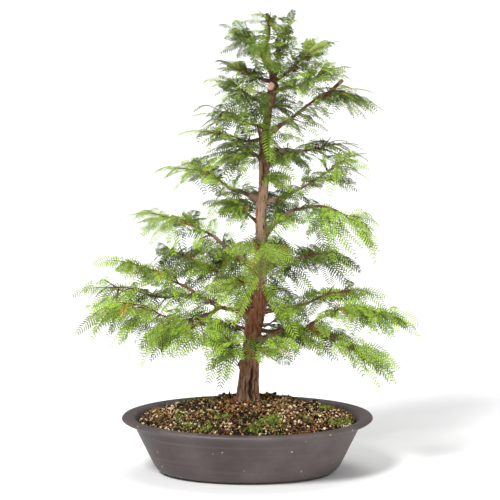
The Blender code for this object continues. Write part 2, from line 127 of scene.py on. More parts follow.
# Rows read at places of their first column, on the cubic through them with matched slopes
def smoothRows(rows, places):
    rows = np.array(rows, float)
    slopes = np.gradient(rows[:, 1:], rows[:, 0], axis=0)
    index = np.clip(np.searchsorted(rows[:, 0], places, side="right") - 1, 0, len(rows) - 2)
    span = rows[index + 1, 0] - rows[index, 0]
    u = ((places - rows[index, 0]) / span)[:, None]
    start, end = rows[index, 1:], rows[index + 1, 1:]
    pullStart, pullEnd = slopes[index] * span[:, None], slopes[index + 1] * span[:, None]
    return (
        start * (2 * u**3 - 3 * u**2 + 1)
        + end * (3 * u**2 - 2 * u**3)
        + pullStart * (u**3 - 2 * u**2 + u)
        + pullEnd * (u**3 - u**2)
    )


# A new object, linked to the scene
def addObject(name, data):
    made = bpy.data.objects.new(name, data)
    bpy.context.scene.collection.objects.link(made)
    return made


# A finished piece from arrays of points and triangles, on the one body, standing for CAD nodes
def putPiece(name, points, triangles, material, nodes, smooth=True, values=None):
    points = np.asarray(points, np.float32).reshape(-1, 3)
    triangles = np.asarray(triangles, np.int32).reshape(-1, 3)
    mesh = bpy.data.meshes.new(name)
    mesh.vertices.add(len(points))
    mesh.vertices.foreach_set("co", points.ravel())
    mesh.loops.add(triangles.size)
    mesh.loops.foreach_set("vertex_index", triangles.ravel())
    mesh.polygons.add(len(triangles))
    mesh.polygons.foreach_set("loop_start", np.arange(len(triangles), dtype=np.int32) * 3)
    mesh.polygons.foreach_set("use_smooth", np.full(len(triangles), smooth))
    mesh.update(calc_edges=True)
    mesh.validate()
    for key, value in (values or {}).items():
        layer = mesh.attributes.new(key, "FLOAT", "POINT")
        layer.data.foreach_set("value", np.asarray(value, np.float32).ravel())
    mesh.materials.append(material)
    piece = addObject(name, mesh)
    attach(piece, "root")
    if nodes:
        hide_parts(*nodes)
    print(f"{name}: {len(triangles)} triangles")


# Triangles of a sheet of rings, each ring joined round on itself and to the next one, with a
# fan from the point before the first ring and another from the point after the last
def ringTriangles(rings, around):
    r, k = np.meshgrid(np.arange(rings - 1), np.arange(around), indexing="ij")
    a = 1 + r * around + k
    b = 1 + r * around + (k + 1) % around
    c, d = b + around, a + around
    wall = np.stack([np.stack([a, b, c], -1), np.stack([a, c, d], -1)], axis=2).reshape(-1, 3)
    k = np.arange(around)
    first = np.stack([np.zeros_like(k), 1 + (k + 1) % around, 1 + k], -1)
    last = 1 + (rings - 1) * around
    end = np.stack([np.full_like(k, last + around), last + k, last + (k + 1) % around], -1)
    return np.concatenate([first, wall, end])


# Tubes along paths of the same count of points: the ring at each point is square to the path,
# a circle of that point's radius, and both ends close on the path itself
def tubes(paths, radii, sides):
    paths, radii = np.asarray(paths, float), np.asarray(radii, float)
    count, rings = paths.shape[:2]
    ahead = unit(np.gradient(paths, axis=1))
    side = unit(np.cross(nearlyUp, ahead))[:, :, None]
    lift = np.cross(ahead[:, :, None], side)
    angle = roundAngles(sides)[:, None]
    ring = np.cos(angle) * side + np.sin(angle) * lift
    wall = (paths[:, :, None] + radii[:, :, None, None] * ring).reshape(count, rings * sides, 3)
    points = np.concatenate([paths[:, :1], wall, paths[:, -1:]], axis=1)
    offsets = np.arange(count)[:, None, None] * points.shape[1]
    return points.reshape(-1, 3), (ringTriangles(rings, sides) + offsets).reshape(-1, 3), ring


# Several shapes as one: the corners of each are counted on from those before it
def joinParts(parts):
    points, triangles, start = [], [], 0
    for p, t in parts:
        points.append(np.asarray(p).reshape(-1, 3))
        triangles.append(np.asarray(t).reshape(-1, 3) + start)
        start += len(points[-1])
    return np.concatenate(points), np.concatenate(triangles)


# Screen values from 0 to 255 as the linear colour that a shader takes
def paint(red, green, blue):
    c = np.array([red, green, blue]) / 255
    return tuple(np.where(c <= 0.04045, c / 12.92, ((c + 0.055) / 1.055) ** 2.4)) + (1.0,)


# A number, a colour or another node's socket put into a socket
def feed(tree, socket, value):
    if isinstance(value, bpy.types.NodeSocket):
        tree.links.new(value, socket)
    else:
        socket.default_value = value


# A node with its settings set and its inputs fed
def addNode(tree, kind, inputs=None, **settings):
    made = tree.nodes.new(kind)
    for key, value in settings.items():
        setattr(made, key, value)
    for key, value in (inputs or {}).items():
        feed(tree, made.inputs[key], value)
    return made


# A ramp of (place, screen colour) stops, or of plain numbers that are taken as they are
def addRamp(tree, factor, stops):
    made = addNode(tree, "ShaderNodeValToRGB", {"Fac": factor})
    ramp = made.color_ramp
    while len(ramp.elements) < len(stops):
        ramp.elements.new(0.5)
    for element, (place, value) in zip(ramp.elements, stops):
        element.position = place
        element.color = paint(*value) if isinstance(value, tuple) else (value, value, value, 1.0)
    return made.outputs["Color"]


# Black at low and white at high, straight between them
def greyRamp(tree, factor, low, high):
    return addRamp(tree, factor, ((low, 0), (high, 1)))


# A value taken from one range to another in a straight line, held at both ends
def mapRange(tree, value, fromLow, fromHigh, low, high):
    values = {"Value": value, "From Min": fromLow, "From Max": fromHigh, "To Min": low, "To Max": high}
    return addNode(tree, "ShaderNodeMapRange", values).outputs["Result"]


# Noise of about 0 to 1: so many layers, each half as large and weaker by rough
def addNoise(tree, vector, scale, detail, rough):
    values = {"Vector": vector, "Scale": scale, "Detail": detail, "Roughness": rough}
    return addNode(tree, "ShaderNodeTexNoise", values).outputs["Fac"]


# Each coordinate times its scale, plus its shift
def stretched(tree, vector, scale, shift=(0, 0, 0)):
    values = {"Vector": vector, "Scale": scale, "Location": shift}
    return addNode(tree, "ShaderNodeMapping", values).outputs["Vector"]


# first (1 - factor) + second factor
def mixed(tree, factor, first, second):
    values = {0: factor, 6: first, 7: second}
    return addNode(tree, "ShaderNodeMix", values, data_type="RGBA").outputs[2]


# A material with its tree, its shader and the Object coordinates
def startMaterial(name, roughness, specular):
    made = bpy.data.materials.new(name)
    made.use_nodes = True
    tree = made.node_tree
    shader = tree.nodes["Principled BSDF"]
    shader.inputs["Roughness"].default_value = roughness
    shader.inputs["Specular IOR Level"].default_value = specular
    place = addNode(tree, "ShaderNodeTexCoord").outputs["Object"]
    return made, tree, shader, place


# The shader's normal tilted by the slope of a height
def addBump(tree, shader, height, strength, distance):
    values = {"Height": height, "Strength": strength, "Distance": distance}
    feed(tree, shader.inputs["Normal"], addNode(tree, "ShaderNodeBump", values).outputs["Normal"])


# A material of one noise: a ramp of stops on it, and where bump is given, (noise, strength,
# distance) of a fine roughness
def speckled(name, finish, noise, stops, bump=None):
    made, tree, shader, place = startMaterial(name, *finish)
    feed(tree, shader.inputs["Base Color"], addRamp(tree, addNoise(tree, place, *noise), stops))
    if bump:
        addBump(tree, shader, addNoise(tree, place, *bump[0]), *bump[1:])
    return made


# Camera and light

viewSettings = {
    "elevation": 12.0,
    "distance": 14.0,
    "target": (0.0038, 0.0, 0.3217),
    "width": 0.7055,  # what the picture spans at the target
    "sensor": 36.0,
    "farthest": 90.0,
}


# The camera stands in front of the target, raised on a circle by the elevation
def placeCamera(s):
    e = math.radians(s["elevation"])
    data = bpy.data.cameras.new("camera")
    data.sensor_width = s["sensor"]
    data.lens = s["sensor"] * s["distance"] / s["width"]
    data.clip_end = s["farthest"]
    camera = addObject("camera", data)
    x, y, z = s["target"]
    camera.location = (x, y - s["distance"] * math.cos(e), z + s["distance"] * math.sin(e))
    camera.rotation_euler = (math.pi / 2 - e, 0, 0)
    bpy.context.scene.camera = camera


lightSettings = {
    "world": 0.40,
    # name: (azimuth, elevation, strength, degrees across)
    "suns": {"key": (238, 46, 2.75, 16), "fill": (318, 26, 0.60, 60), "top": (90, 76, 1.00, 40)},
}


# A white sky and broad suns, each aimed at the plant along its own azimuth and elevation
def placeLights(s):
    world = bpy.data.worlds.new("studio")
    world.use_nodes = True
    sky = world.node_tree.nodes["Background"]
    sky.inputs["Color"].default_value = (1, 1, 1, 1)
    sky.inputs["Strength"].default_value = s["world"]
    bpy.context.scene.world = world
    for name, (azimuth, elevation, strength, across) in s["suns"].items():
        data = bpy.data.lights.new(name, "SUN")
        data.energy = strength
        data.angle = math.radians(across)
        lamp = addObject(name, data)
        away = aim(azimuth, elevation)
        lamp.location = away * 3
        lamp.rotation_euler = Vector(away).to_track_quat("Z", "Y").to_euler()


floorSettings = {"half": 16.0, "tint": (250, 250, 250), "finish": (0.9, 0.1)}


# A level square under the pot
def makeFloor(s):
    h = s["half"]
    mesh = bpy.data.meshes.new("floor")
    mesh.from_pydata([(-h, -h, 0), (h, -h, 0), (h, h, 0), (-h, h, 0)], [], [(0, 1, 2, 3)])
    material, _, shader, _ = startMaterial("paleFloor", *s["finish"])
    shader.inputs["Base Color"].default_value = paint(*s["tint"])
    mesh.materials.append(material)
    floor = addObject("floor", mesh)


placeCamera(viewSettings)
placeLights(lightSettings)
makeFloor(floorSettings)
bpy.context.scene.view_settings.view_transform = "Standard"
print("camera, lights and floor are in")


# Pot: an oval with one profile all round, given as (offset in from the rim, height)

potSettings = {
    "halfLength": 0.178,
    "halfDepth": 0.137,
    "rim": 0.082,
    "around": 224,
    "step": 0.0035,  # longest stretch of the profile before its corners are rounded
    "outside": (
        (0.0590, 0.0), (0.0590, 0.0030), (0.0555, 0.0030), (0.0500, 0.0065), (0.0450, 0.0140),
        (0.0180, 0.0690), (0.0135, 0.0736), (0.0035, 0.0752), (0.0, 0.0780), (0.0018, 0.0812),
        (0.0070, 0.0822), (0.0150, 0.0813), (0.0190, 0.0795), (0.0215, 0.0760),
    ),
    "inside": ((0.0260, 0.0690), (0.0530, 0.0160), (0.0600, 0.0100)),
    "tooling": (0.00009, 520),  # depth, lines a metre
    "waver": (0.0005, 2.2, 30),  # depth, lumps round, lumps a metre up
    "sway": ((1.0, 2, 0.4), (0.6, 3, 1.3)),  # of the rim up and down: size, waves round, turn
    "still": 0.004,  # no relief below this height
    "finish": (0.5, 0.42),
    "drift": (9.0, 5.0, 0.6),  # noise of the dusty drifts, and their colours
    "colours": ((0.32, (66, 55, 54)), (0.52, (84, 73, 72)), (0.72, (104, 94, 92))),
    "roughness": ((0.3, 0.44), (0.7, 0.58)),  # at these values of the drifts
    # stretch, noise, ramp and colour of the level lines
    "lines": ((5, 5, 260), (1.0, 3.0, 0.5), (0.56, 1.00), (112, 102, 99)),
    # spots a metre, ramps of their distance and of a draw for each, and their colour
    "specks": (460.0, (0.17, 0.10), (0.9980, 0.9990), (188, 180, 170)),
    "bump": ((900.0, 2.0, 0.7), 0.35, 0.35, 0.0006),  # noise, its share, strength, distance
}


# The profile cut into short stretches, then its corners cut at a quarter and three quarters
# of each stretch, twice over
def roundedProfile(profile, step):
    rows = [np.array(profile[:1])]
    for a, b in zip(np.array(profile[:-1]), np.array(profile[1:])):
        count = max(1, math.ceil(np.linalg.norm(b - a) / step))
        rows.append(a + (b - a) * (np.arange(1, count + 1) / count)[:, None])
    line = np.concatenate(rows)
    for _ in range(2):
        cut = np.stack([line[:-1] * 0.75 + line[1:] * 0.25, line[:-1] * 0.25 + line[1:] * 0.75], 1)
        line = np.concatenate([line[:1], cut.reshape(-1, 2), line[-1:]])
    return line


# Oval rings: x = (half length - offset) cos, y = (half depth - offset) sin, with fine level
# tooling and a slow waver in the offset, and a sway in the height that grows toward the rim
def makePot(s):
    line = roundedProfile(s["outside"] + s["inside"], s["step"])
    angle = roundAngles(s["around"])
    offset, height = line[:, :1], line[:, 1:]
    depth, pace = s["tooling"]
    tooling = (softNoise(0, 0, height * pace, 3) - 0.5) * depth * 2
    depth, lumpsRound, lumpsUp = s["waver"]
    slow = (wrappedNoise(angle, height, lumpsRound, lumpsUp, 5) - 0.5) * depth
    offset = offset + np.where(height > s["still"], tooling + slow, 0)
    rise = depth * ripple(s["sway"], angle) * height / s["rim"]
    x = (s["halfLength"] - offset) * np.cos(angle)
    y = (s["halfDepth"] - offset) * np.sin(angle)
    rings = np.stack([x, y, height + rise], -1).reshape(-1, 3)
    points = np.concatenate([[[0, 0, line[0, 1]]], rings, [[0, 0, line[-1, 1]]]])
    triangles = ringTriangles(len(line), s["around"])
    putPiece("ovalPot", points, triangles, clayMaterial(s), ["pot"])


# Unglazed clay: a brown grey with paler dusty drifts, level tooling lines and white specks
def clayMaterial(s):
    made, tree, shader, place = startMaterial("unglazedClay", *s["finish"])
    drift = addNoise(tree, place, *s["drift"])
    stretch, noise, ends, tint = s["lines"]
    lines = addNoise(tree, stretched(tree, place, stretch), *noise)
    colour = addRamp(tree, drift, s["colours"])
    colour = mixed(tree, greyRamp(tree, lines, *ends), colour, paint(*tint))
    scale, size, rarity, tint = s["specks"]
    dots = addNode(tree, "ShaderNodeTexVoronoi", {"Vector": place, "Scale": scale})
    pick = addNode(tree, "ShaderNodeSeparateColor", {"Color": dots.outputs["Color"]})
    near = greyRamp(tree, dots.outputs["Distance"], *size)
    rare = greyRamp(tree, pick.outputs["Red"], *rarity)
    speck = addNode(tree, "ShaderNodeMath", {0: near, 1: rare}, operation="MULTIPLY")
    colour = mixed(tree, speck.outputs[0], colour, paint(*tint))
    feed(tree, shader.inputs["Base Color"], colour)
    feed(tree, shader.inputs["Roughness"], addRamp(tree, drift, s["roughness"]))
    noise, share, strength, distance = s["bump"]
    height = mixed(tree, share, lines, addNoise(tree, place, *noise))
    addBump(tree, shader, height, strength, distance)
    return made


# Soil: a dark mound under loose grains, chips and moss

soilSettings = {
    "halfLength": 0.1535,
    "halfDepth": 0.1125,
    "edge": 0.0765,
    "foot": 0.1000,
    "footRadius": 0.025,
    "footY": 0.016,
    "lumpHeight": 0.0024,
    "lumpSpacing": 0.031,
    "rings": 70,
    "around": 180,
    "floor": 0.062,  # height of the bed's flat underside
    "sunk": 0.0026,  # how far the bed lies below its grains
    "innermost": 0.012,  # size of the bed's last ring beside its first
    # size of each kind of loose unevenness, and lumps a metre
    "uneven": ((0.0042, 60, 11), (0.0016, 240, 12)),
    "clearFoot": 0.0145,  # no grain nearer to the trunk's axis
    "grainsWithin": 0.992,
    "stretch": (0.8, 1.25),
    "lift": (-0.0022, 0.0012),
    "drifts": 34,  # of like grains, a metre
    # finish, noise, colours and bump of the bed
    "bed": (
        (0.95, 0.2), (420.0, 4.0, 0.7), ((0.35, (22, 15, 12)), (0.65, (58, 40, 28))),
        ((700.0, 3.0, 0.7), 0.8, 0.002),
    ),
    "grainFinish": (0.9, 0.25),
    "grainNoise": (260.0, 3.0, 0.6),
    "grainTints": (0.36, 0.64),  # where in the noise a kind has its two tints
    "grainBump": ((1500.0, 2.0, 0.6), 0.4, 0.0006),
    "likely": (0.15, 1.7, 0.3),  # at least, times the drift, past this much of it
    "rusty": (0.14, 3.0, 0.032),  # share of that, share and reach round the foot
    "creamy": (0.45, 0.9, 0.12),  # share of that in the middle, what x adds, up to this x
    # kind: count, half sizes, least and most scale, how bumpy, and two tints
    "grains": {
        "darkBark": (2300, (0.0033, 0.0018, 0.0011), (0.55, 1.25), 0.22, (28, 18, 14), (62, 42, 30)),
        "brownBark": (1500, (0.0031, 0.0017, 0.0011), (0.55, 1.20), 0.22, (76, 50, 34), (122, 86, 58)),
        "creamStone": (900, (0.0020, 0.0018, 0.0015), (0.50, 1.25), 0.20, (214, 188, 146), (250, 230, 196)),
        "tanStone": (950, (0.0020, 0.0018, 0.0015), (0.50, 1.20), 0.20, (150, 116, 74), (194, 156, 106)),
        "rustClay": (900, (0.0019, 0.0017, 0.0014), (0.55, 1.15), 0.20, (156, 84, 50), (204, 132, 88)),
        "oliveGrit": (520, (0.0018, 0.0012, 0.0009), (0.50, 1.30), 0.24, (58, 66, 32), (112, 122, 58)),
        "blackGrit": (900, (0.0017, 0.0015, 0.0013), (0.50, 1.20), 0.18, (26, 20, 18), (50, 40, 34)),
    },
}


# Height of the mound: each point lies on one oval between the edge and the trunk's foot,
# found by halving. The height rises from edge to foot as a quarter of a sine, with the
# source's lumps of cos x sin y that fade at both ends.
def moundHeight(x, y, s):
    low, high = np.zeros_like(x), np.ones_like(x)
    for _ in range(24):
        share = (low + high) / 2
        a = s["halfLength"] * (1 - share) + s["footRadius"] * share
        b = s["halfDepth"] * (1 - share) + s["footRadius"] * share
        inside = (x / a) ** 2 + ((y - s["footY"] * share) / b) ** 2 < 1
        low, high = np.where(inside, share, low), np.where(inside, high, share)
    wave = math.pi / s["lumpSpacing"]
    lump = s["lumpHeight"] * np.cos(x * wave) * np.sin(y * wave) * np.sin(low * math.pi)
    return s["edge"] + (s["foot"] - s["edge"]) * np.sin(low * math.pi / 2) + lump


# Loose unevenness: coarse and fine noise about nothing
def uneven(x, y, s):
    return sum((softNoise(x * pace, y * pace, 0, seed) - 0.5) * size for size, pace, seed in s["uneven"])


# Points on the ground, raised by a lift
def onGround(x, y, lift, s):
    return np.stack([x, y, moundHeight(x, y, s) + uneven(x, y, s) + lift], -1)


# The mound itself: ovals from the edge to the middle at the ground's height, closed below by
# a flat face
def makeSoilBed(s):
    share = np.linspace(1, s["innermost"], s["rings"])[:, None]
    angle = roundAngles(s["around"])
    x = s["halfLength"] * share * np.cos(angle)
    y = s["halfDepth"] * share * np.sin(angle)
    within = 0.999  # keeps the outer ring on the mound
    z = moundHeight(x * within, y * within, s) + uneven(x, y, s) - s["sunk"]
    top = np.stack([x, y, z], -1)
    low = top[:1].copy()
    low[..., 2] = s["floor"]
    rings = np.concatenate([low, top])
    points = np.concatenate([[[0, 0, s["floor"]]], rings.reshape(-1, 3), [[0, 0, z[-1].mean()]]])
    made = speckled("darkSoil", *s["bed"])
    putPiece("soilBed", points, ringTriangles(len(rings), s["around"]), made, ["soil"])


# A ball of twelve corners and twenty faces
def roundSeed():
    g = (1 + 5**0.5) / 2
    corners = [(0, a, b) for a in (-1, 1) for b in (-g, g)]
    corners += [(a, b, 0) for a in (-1, 1) for b in (-g, g)]
    corners += [(b, 0, a) for a in (-1, 1) for b in (-g, g)]
    corners = unit(np.array(corners, float))
    apart = np.linalg.norm(corners[:, None] - corners[None], axis=-1)
    beside = (apart > 0.1) & (apart < 1.2)  # an edge is 1.05 long
    faces = []
    for i in range(12):
        for j in range(i + 1, 12):
            for k in range(j + 1, 12):
                if beside[i, j] and beside[j, k] and beside[i, k]:
                    out = np.dot(np.cross(corners[j] - corners[i], corners[k] - corners[i]), corners[i])
                    faces.append((i, j, k) if out > 0 else (i, k, j))
    return corners, np.array(faces)


# Random turns: each from a unit quaternion of four normal numbers
def randomTurns(count, chance):
    w, x, y, z = unit(chance.normal(size=(count, 4))).T
    rows = [
        [1 - 2 * (y * y + z * z), 2 * (x * y - w * z), 2 * (x * z + w * y)],
        [2 * (x * y + w * z), 1 - 2 * (x * x + z * z), 2 * (y * z - w * x)],
        [2 * (x * z - w * y), 2 * (y * z + w * x), 1 - 2 * (x * x + y * y)],
    ]
    return np.array(rows).transpose(2, 0, 1)


# How likely a grain of each kind is at these places: like grains drift together, the rusty
# ones gather round the foot and the cream ones toward both ends
def likelihood(kind, x, y, foot, number, s):
    drift = softNoise(x * s["drifts"], y * s["drifts"], number * 9.0, 21)
    least, times, past = s["likely"]
    likely = least + times * np.clip(drift - past, 0, 1)
    if kind == "rustClay":
        share, times, reach = s["rusty"]
        likely = share * likely + times * np.exp(-((foot / reach) ** 2))
    if kind == "creamStone":
        share, more, reach = s["creamy"]
        likely = likely * (share + more * np.clip(np.abs(x) / reach, 0, 1))
    return likely


# Grains: each is the ball with its corners pushed in or out, stretched, turned and set on the
# ground
def makeGrains(s):
    seed, faces = roundSeed()
    for number, (kind, (count, size, scale, bumpy, *tints)) in enumerate(s["grains"].items()):
        chance = np.random.default_rng(70 + number)
        many = count * 4
        radius, angle = np.sqrt(chance.uniform(0, 1, many)), chance.uniform(0, fullTurn, many)
        x = s["halfLength"] * radius * np.cos(angle) * s["grainsWithin"]
        y = s["halfDepth"] * radius * np.sin(angle) * s["grainsWithin"]
        foot = np.hypot(x, y - s["footY"])
        kept = chance.uniform(0, 1, many) < likelihood(kind, x, y, foot, number, s)
        keep = np.flatnonzero(kept & (foot > s["clearFoot"]))[:count]
        n = len(keep)
        centre = onGround(x[keep], y[keep], chance.uniform(*s["lift"], n), s)
        body = seed * chance.uniform(1 - bumpy, 1 + bumpy, (n, 12, 1))
        body = body * np.array(size) * chance.uniform(*scale, (n, 1, 1))
        body = body * chance.uniform(*s["stretch"], (n, 1, 3))
        points = np.einsum("nij,nkj->nki", randomTurns(n, chance), body) + centre[:, None]
        triangles = faces + np.arange(n)[:, None, None] * 12
        colours = tuple(zip(s["grainTints"], tints))
        made = speckled(kind, s["grainFinish"], s["grainNoise"], colours, s["grainBump"])
        putPiece(kind, points, triangles, made, [], smooth=False)


makePot(potSettings)
makeSoilBed(soilSettings)
makeGrains(soilSettings)
print("pot and soil are in")


# Trunk and boughs

# height, x, y and radius of the trunk's axis
trunkRows = (
    (0.1003, 0.0000, 0.0160, 0.0165),
    (0.1120, 0.0005, 0.0160, 0.0150),
    (0.1450, 0.0030, 0.0165, 0.0134),
    (0.2000, 0.0080, 0.0170, 0.0118),
    (0.2320, 0.0120, 0.0165, 0.0115),
    (0.2620, 0.0150, 0.0150, 0.0104),
    (0.3010, 0.0200, 0.0140, 0.0090),
    (0.3720, 0.0195, 0.0130, 0.0077),
    (0.4120, 0.0230, 0.0140, 0.0070),
    (0.4740, 0.0250, 0.0150, 0.0070),
    (0.5120, 0.0290, 0.0150, 0.0050),
    (0.5530, 0.0350, 0.0150, 0.0058),
    (0.5710, 0.0350, 0.0145, 0.0042),
    (0.5970, 0.0225, 0.0140, 0.0034),
    (0.6280, 0.0300, 0.0145, 0.0026),
    (0.6420, 0.0305, 0.0140, 0.0020),
)
trunkSettings = {
    "rings": 420,
    "around": 100,
    "sunk": 0.006,  # how far the foot goes down among the grains
    "flare": (0.016, 0.0045, 5, 0.7),  # fading height, size, lobes, turn
    "lobes": (0.6, 0.4),  # share of the flare that is there all round, and what a lobe adds
    # height, azimuth, size, spread up the trunk
    "knots": (
        (0.153, 180, 0.0030, 0.006), (0.229, 170, 0.0050, 0.010), (0.233, 10, 0.0030, 0.010),
        (0.553, 20, 0.0040, 0.010), (0.205, 250, 0.0016, 0.008), (0.214, 320, 0.0018, 0.008),
        (0.180, 330, 0.0014, 0.007), (0.336, 300, 0.0012, 0.007), (0.386, 200, 0.0014, 0.006),
    ),
    # azimuth at the foot, azimuth at the top, lowest, highest, depth, half width in degrees
    "folds": (
        (294, 276, 0.100, 0.156, 0.0034, 7), (322, 306, 0.100, 0.160, 0.0014, 6),
        (216, 226, 0.105, 0.150, 0.0014, 6), (60, 80, 0.100, 0.190, 0.0026, 9),
        (250, 262, 0.104, 0.168, 0.0010, 5), (140, 120, 0.100, 0.165, 0.0014, 11),
        (262, 300, 0.425, 0.500, 0.0022, 20), (100, 140, 0.430, 0.500, 0.0020, 20),
    ),
    "wander": ((7, 95), (4, 420)),  # of the folds: degrees, and radians of its wave a metre up
    "foldFades": (0.012, 0.02),  # how far below its lowest a fold starts, and its fading height
    "twist": 7,  # radians a metre that the grain of the bark winds
    "strips": (0.0012, 3.4, 26),  # depth, lumps round, lumps a metre up
    "stripLevel": (0.72, 1.6),  # ridges above it stand out, and by how many times the depth
    "flakes": (0.00075, 8.0, 110),
    "fullRelief": 0.012,  # radius at which the bark has its full relief
    "reliefShare": (0.3, 1.1),  # least and most of it on thinner and thicker trunk
    "shade": 0.0015,  # relief that counts as one in the painted highlight and shade of the colours
    "tipRise": 0.001,  # how far the tip stands above its last ring
}
limbColumns = (
    "carrier", "root", "azimuth", "reach", "rise", "arch", "wave", "bare", "spread", "hang",
)
# A limb runs out along its azimuth, and its height is rise t + arch 4t(1 - t) + wave sin 2 pi t
limbRows = {
    "top_leader": ("trunk", 0.640, 200, 0.004, 0.030, 0.000, 0.000, 0.00, 0.018, -10),
    "top_right": ("trunk", 0.562, 16, 0.032, 0.120, -0.009, 0.000, 0.00, 0.048, 10),
    "top_left": ("trunk", 0.598, 188, 0.064, 0.044, 0.010, 0.000, 0.00, 0.048, 25),
    "left_1": ("trunk", 0.561, 172, 0.096, 0.002, 0.013, -0.005, 0.00, 0.060, 15),
    "left_2": ("trunk", 0.540, 205, 0.092, -0.004, 0.014, -0.014, 0.00, 0.056, 15),
    "left_3": ("trunk", 0.494, 160, 0.110, 0.000, 0.013, -0.004, 0.00, 0.060, 10),
    "left_4": ("trunk", 0.478, 192, 0.116, -0.014, 0.014, -0.008, 0.00, 0.060, 12),
    "left_5": ("trunk", 0.450, 222, 0.097, -0.013, 0.016, 0.000, 0.00, 0.054, 15),
    "left_6": ("trunk", 0.390, 172, 0.148, 0.008, 0.031, -0.010, 0.40, 0.066, 0),
    "left_7": ("trunk", 0.353, 205, 0.084, 0.012, 0.028, -0.004, 0.00, 0.056, 30),
    "left_8": ("trunk", 0.287, 180, 0.182, 0.093, 0.017, 0.001, 0.36, 0.066, 10),
    "left_9": ("trunk", 0.269, 160, 0.172, 0.037, 0.005, -0.005, 0.40, 0.066, 15),
    "left_10": ("trunk", 0.220, 186, 0.222, 0.080, 0.014, -0.009, 0.46, 0.064, 30),
    "left_11": ("left_10", 0.36, 176, 0.174, -0.009, 0.009, -0.008, 0.30, 0.070, 46),
    "left_12": ("left_10", 0.22, 215, 0.134, -0.051, 0.000, -0.007, 0.30, 0.068, 22),
    "left_13": ("left_12", 0.12, 192, 0.188, -0.028, 0.028, -0.018, 0.00, 0.068, 48),
    "left_14": ("trunk", 0.199, 146, 0.110, -0.010, 0.012, 0.000, 0.00, 0.064, 20),
    "left_15": ("trunk", 0.177, 235, 0.094, -0.026, 0.025, -0.017, 0.00, 0.058, 36),
    "right_1": ("trunk", 0.560, 8, 0.098, 0.033, 0.019, -0.006, 0.00, 0.060, 15),
    "right_2": ("trunk", 0.549, 343, 0.122, 0.022, 0.009, -0.007, 0.00, 0.056, 20),
    "right_3": ("trunk", 0.483, 12, 0.146, 0.024, 0.038, -0.011, 0.50, 0.066, 25),
    "right_4": ("trunk", 0.463, 24, 0.136, 0.011, -0.011, 0.001, 0.44, 0.064, 5),
    "right_5": ("trunk", 0.436, 62, 0.125, -0.004, 0.010, 0.000, 0.00, 0.062, 15),
    "right_6": ("trunk", 0.386, 356, 0.145, 0.076, -0.003, -0.004, 0.46, 0.068, 25),
    "right_7": ("trunk", 0.336, 346, 0.170, -0.014, 0.058, 0.000, 0.40, 0.070, 32),
    "right_8": ("trunk", 0.291, 20, 0.134, -0.011, 0.021, -0.006, 0.46, 0.066, 20),
    "right_9": ("trunk", 0.229, 5, 0.180, 0.010, 0.014, -0.009, 0.42, 0.066, 20),
    "right_10": ("trunk", 0.212, 312, 0.112, -0.001, 0.019, -0.011, 0.00, 0.062, 30),
    "right_11": ("trunk", 0.204, 38, 0.138, -0.036, 0.009, -0.005, 0.44, 0.066, 30),
    "right_12": ("trunk", 0.181, 344, 0.218, -0.044, 0.043, 0.003, 0.44, 0.066, 12),
    "right_13": ("right_12", 0.36, 356, 0.157, 0.007, 0.029, 0.004, 0.00, 0.064, 20),
    "right_14": ("trunk", 0.173, 303, 0.104, 0.000, 0.019, -0.009, 0.00, 0.056, 15),
    "front_1": ("trunk", 0.420, 268, 0.092, -0.006, 0.014, 0.000, 0.00, 0.052, 15),
    "front_2": ("trunk", 0.320, 266, 0.128, 0.006, 0.015, 0.000, 0.00, 0.062, 20),
    "front_3": ("trunk", 0.258, 248, 0.116, 0.010, 0.022, 0.000, 0.00, 0.060, 30),
    "back_1": ("trunk", 0.510, 84, 0.098, 0.012, 0.010, 0.000, 0.00, 0.060, 15),
    "back_2": ("trunk", 0.440, 118, 0.118, 0.010, 0.010, 0.000, 0.00, 0.062, 15),
    "back_3": ("trunk", 0.352, 92, 0.146, 0.020, 0.012, 0.000, 0.34, 0.066, 20),
    "back_4": ("trunk", 0.274, 112, 0.158, 0.012, 0.012, 0.000, 0.36, 0.068, 25),
    "back_5": ("trunk", 0.226, 76, 0.164, 0.000, 0.014, 0.000, 0.38, 0.068, 30),
}
limbSettings = {
    "thin": 0.0011,
    "taper": 0.0150,
    "tipRadius": 0.0005,
    "touchGap": 0.0003,
    "clearOfTrunk": 0.022,
    "stemTipShare": 0.85,
    "stemLeast": 0.25,
    "tipSink": 0.0040,
    "barkShare": 0.64,  # of the solid's radius, because bark and knots stand out from it
    "sideShare": 0.50,  # the same for a bough that grows from another
    "hidden": (0.008, 0.002),  # how deep a limb starts inside the trunk or another limb
    "collar": (1.15, 0.016),  # how much wider a limb starts, and how soon that is gone
    "kink": (0.0028, 38, 5.3),  # how far a limb strays, bends a metre, step between its axes
    "strips": (0.0009, 2.4, 90),  # depth, lumps round, lumps a metre along
    "stripLevel": 0.7,
    "rough": (0.0009, 6.24, 270),
    "knots": (0.9, 120, 0.45),  # share of the radius, knots a metre, noise above which they are
    "fullRelief": 0.004,  # radius at which a limb's bark has its full relief
    "reliefShare": (0.15, 1),
    # relief that counts as one in the painted highlight and shade of the colours
    "shade": 0.0006,
    "strayFades": (0.03, 0.05, 0.3),  # length from the root and to the tip, and what is left there
}


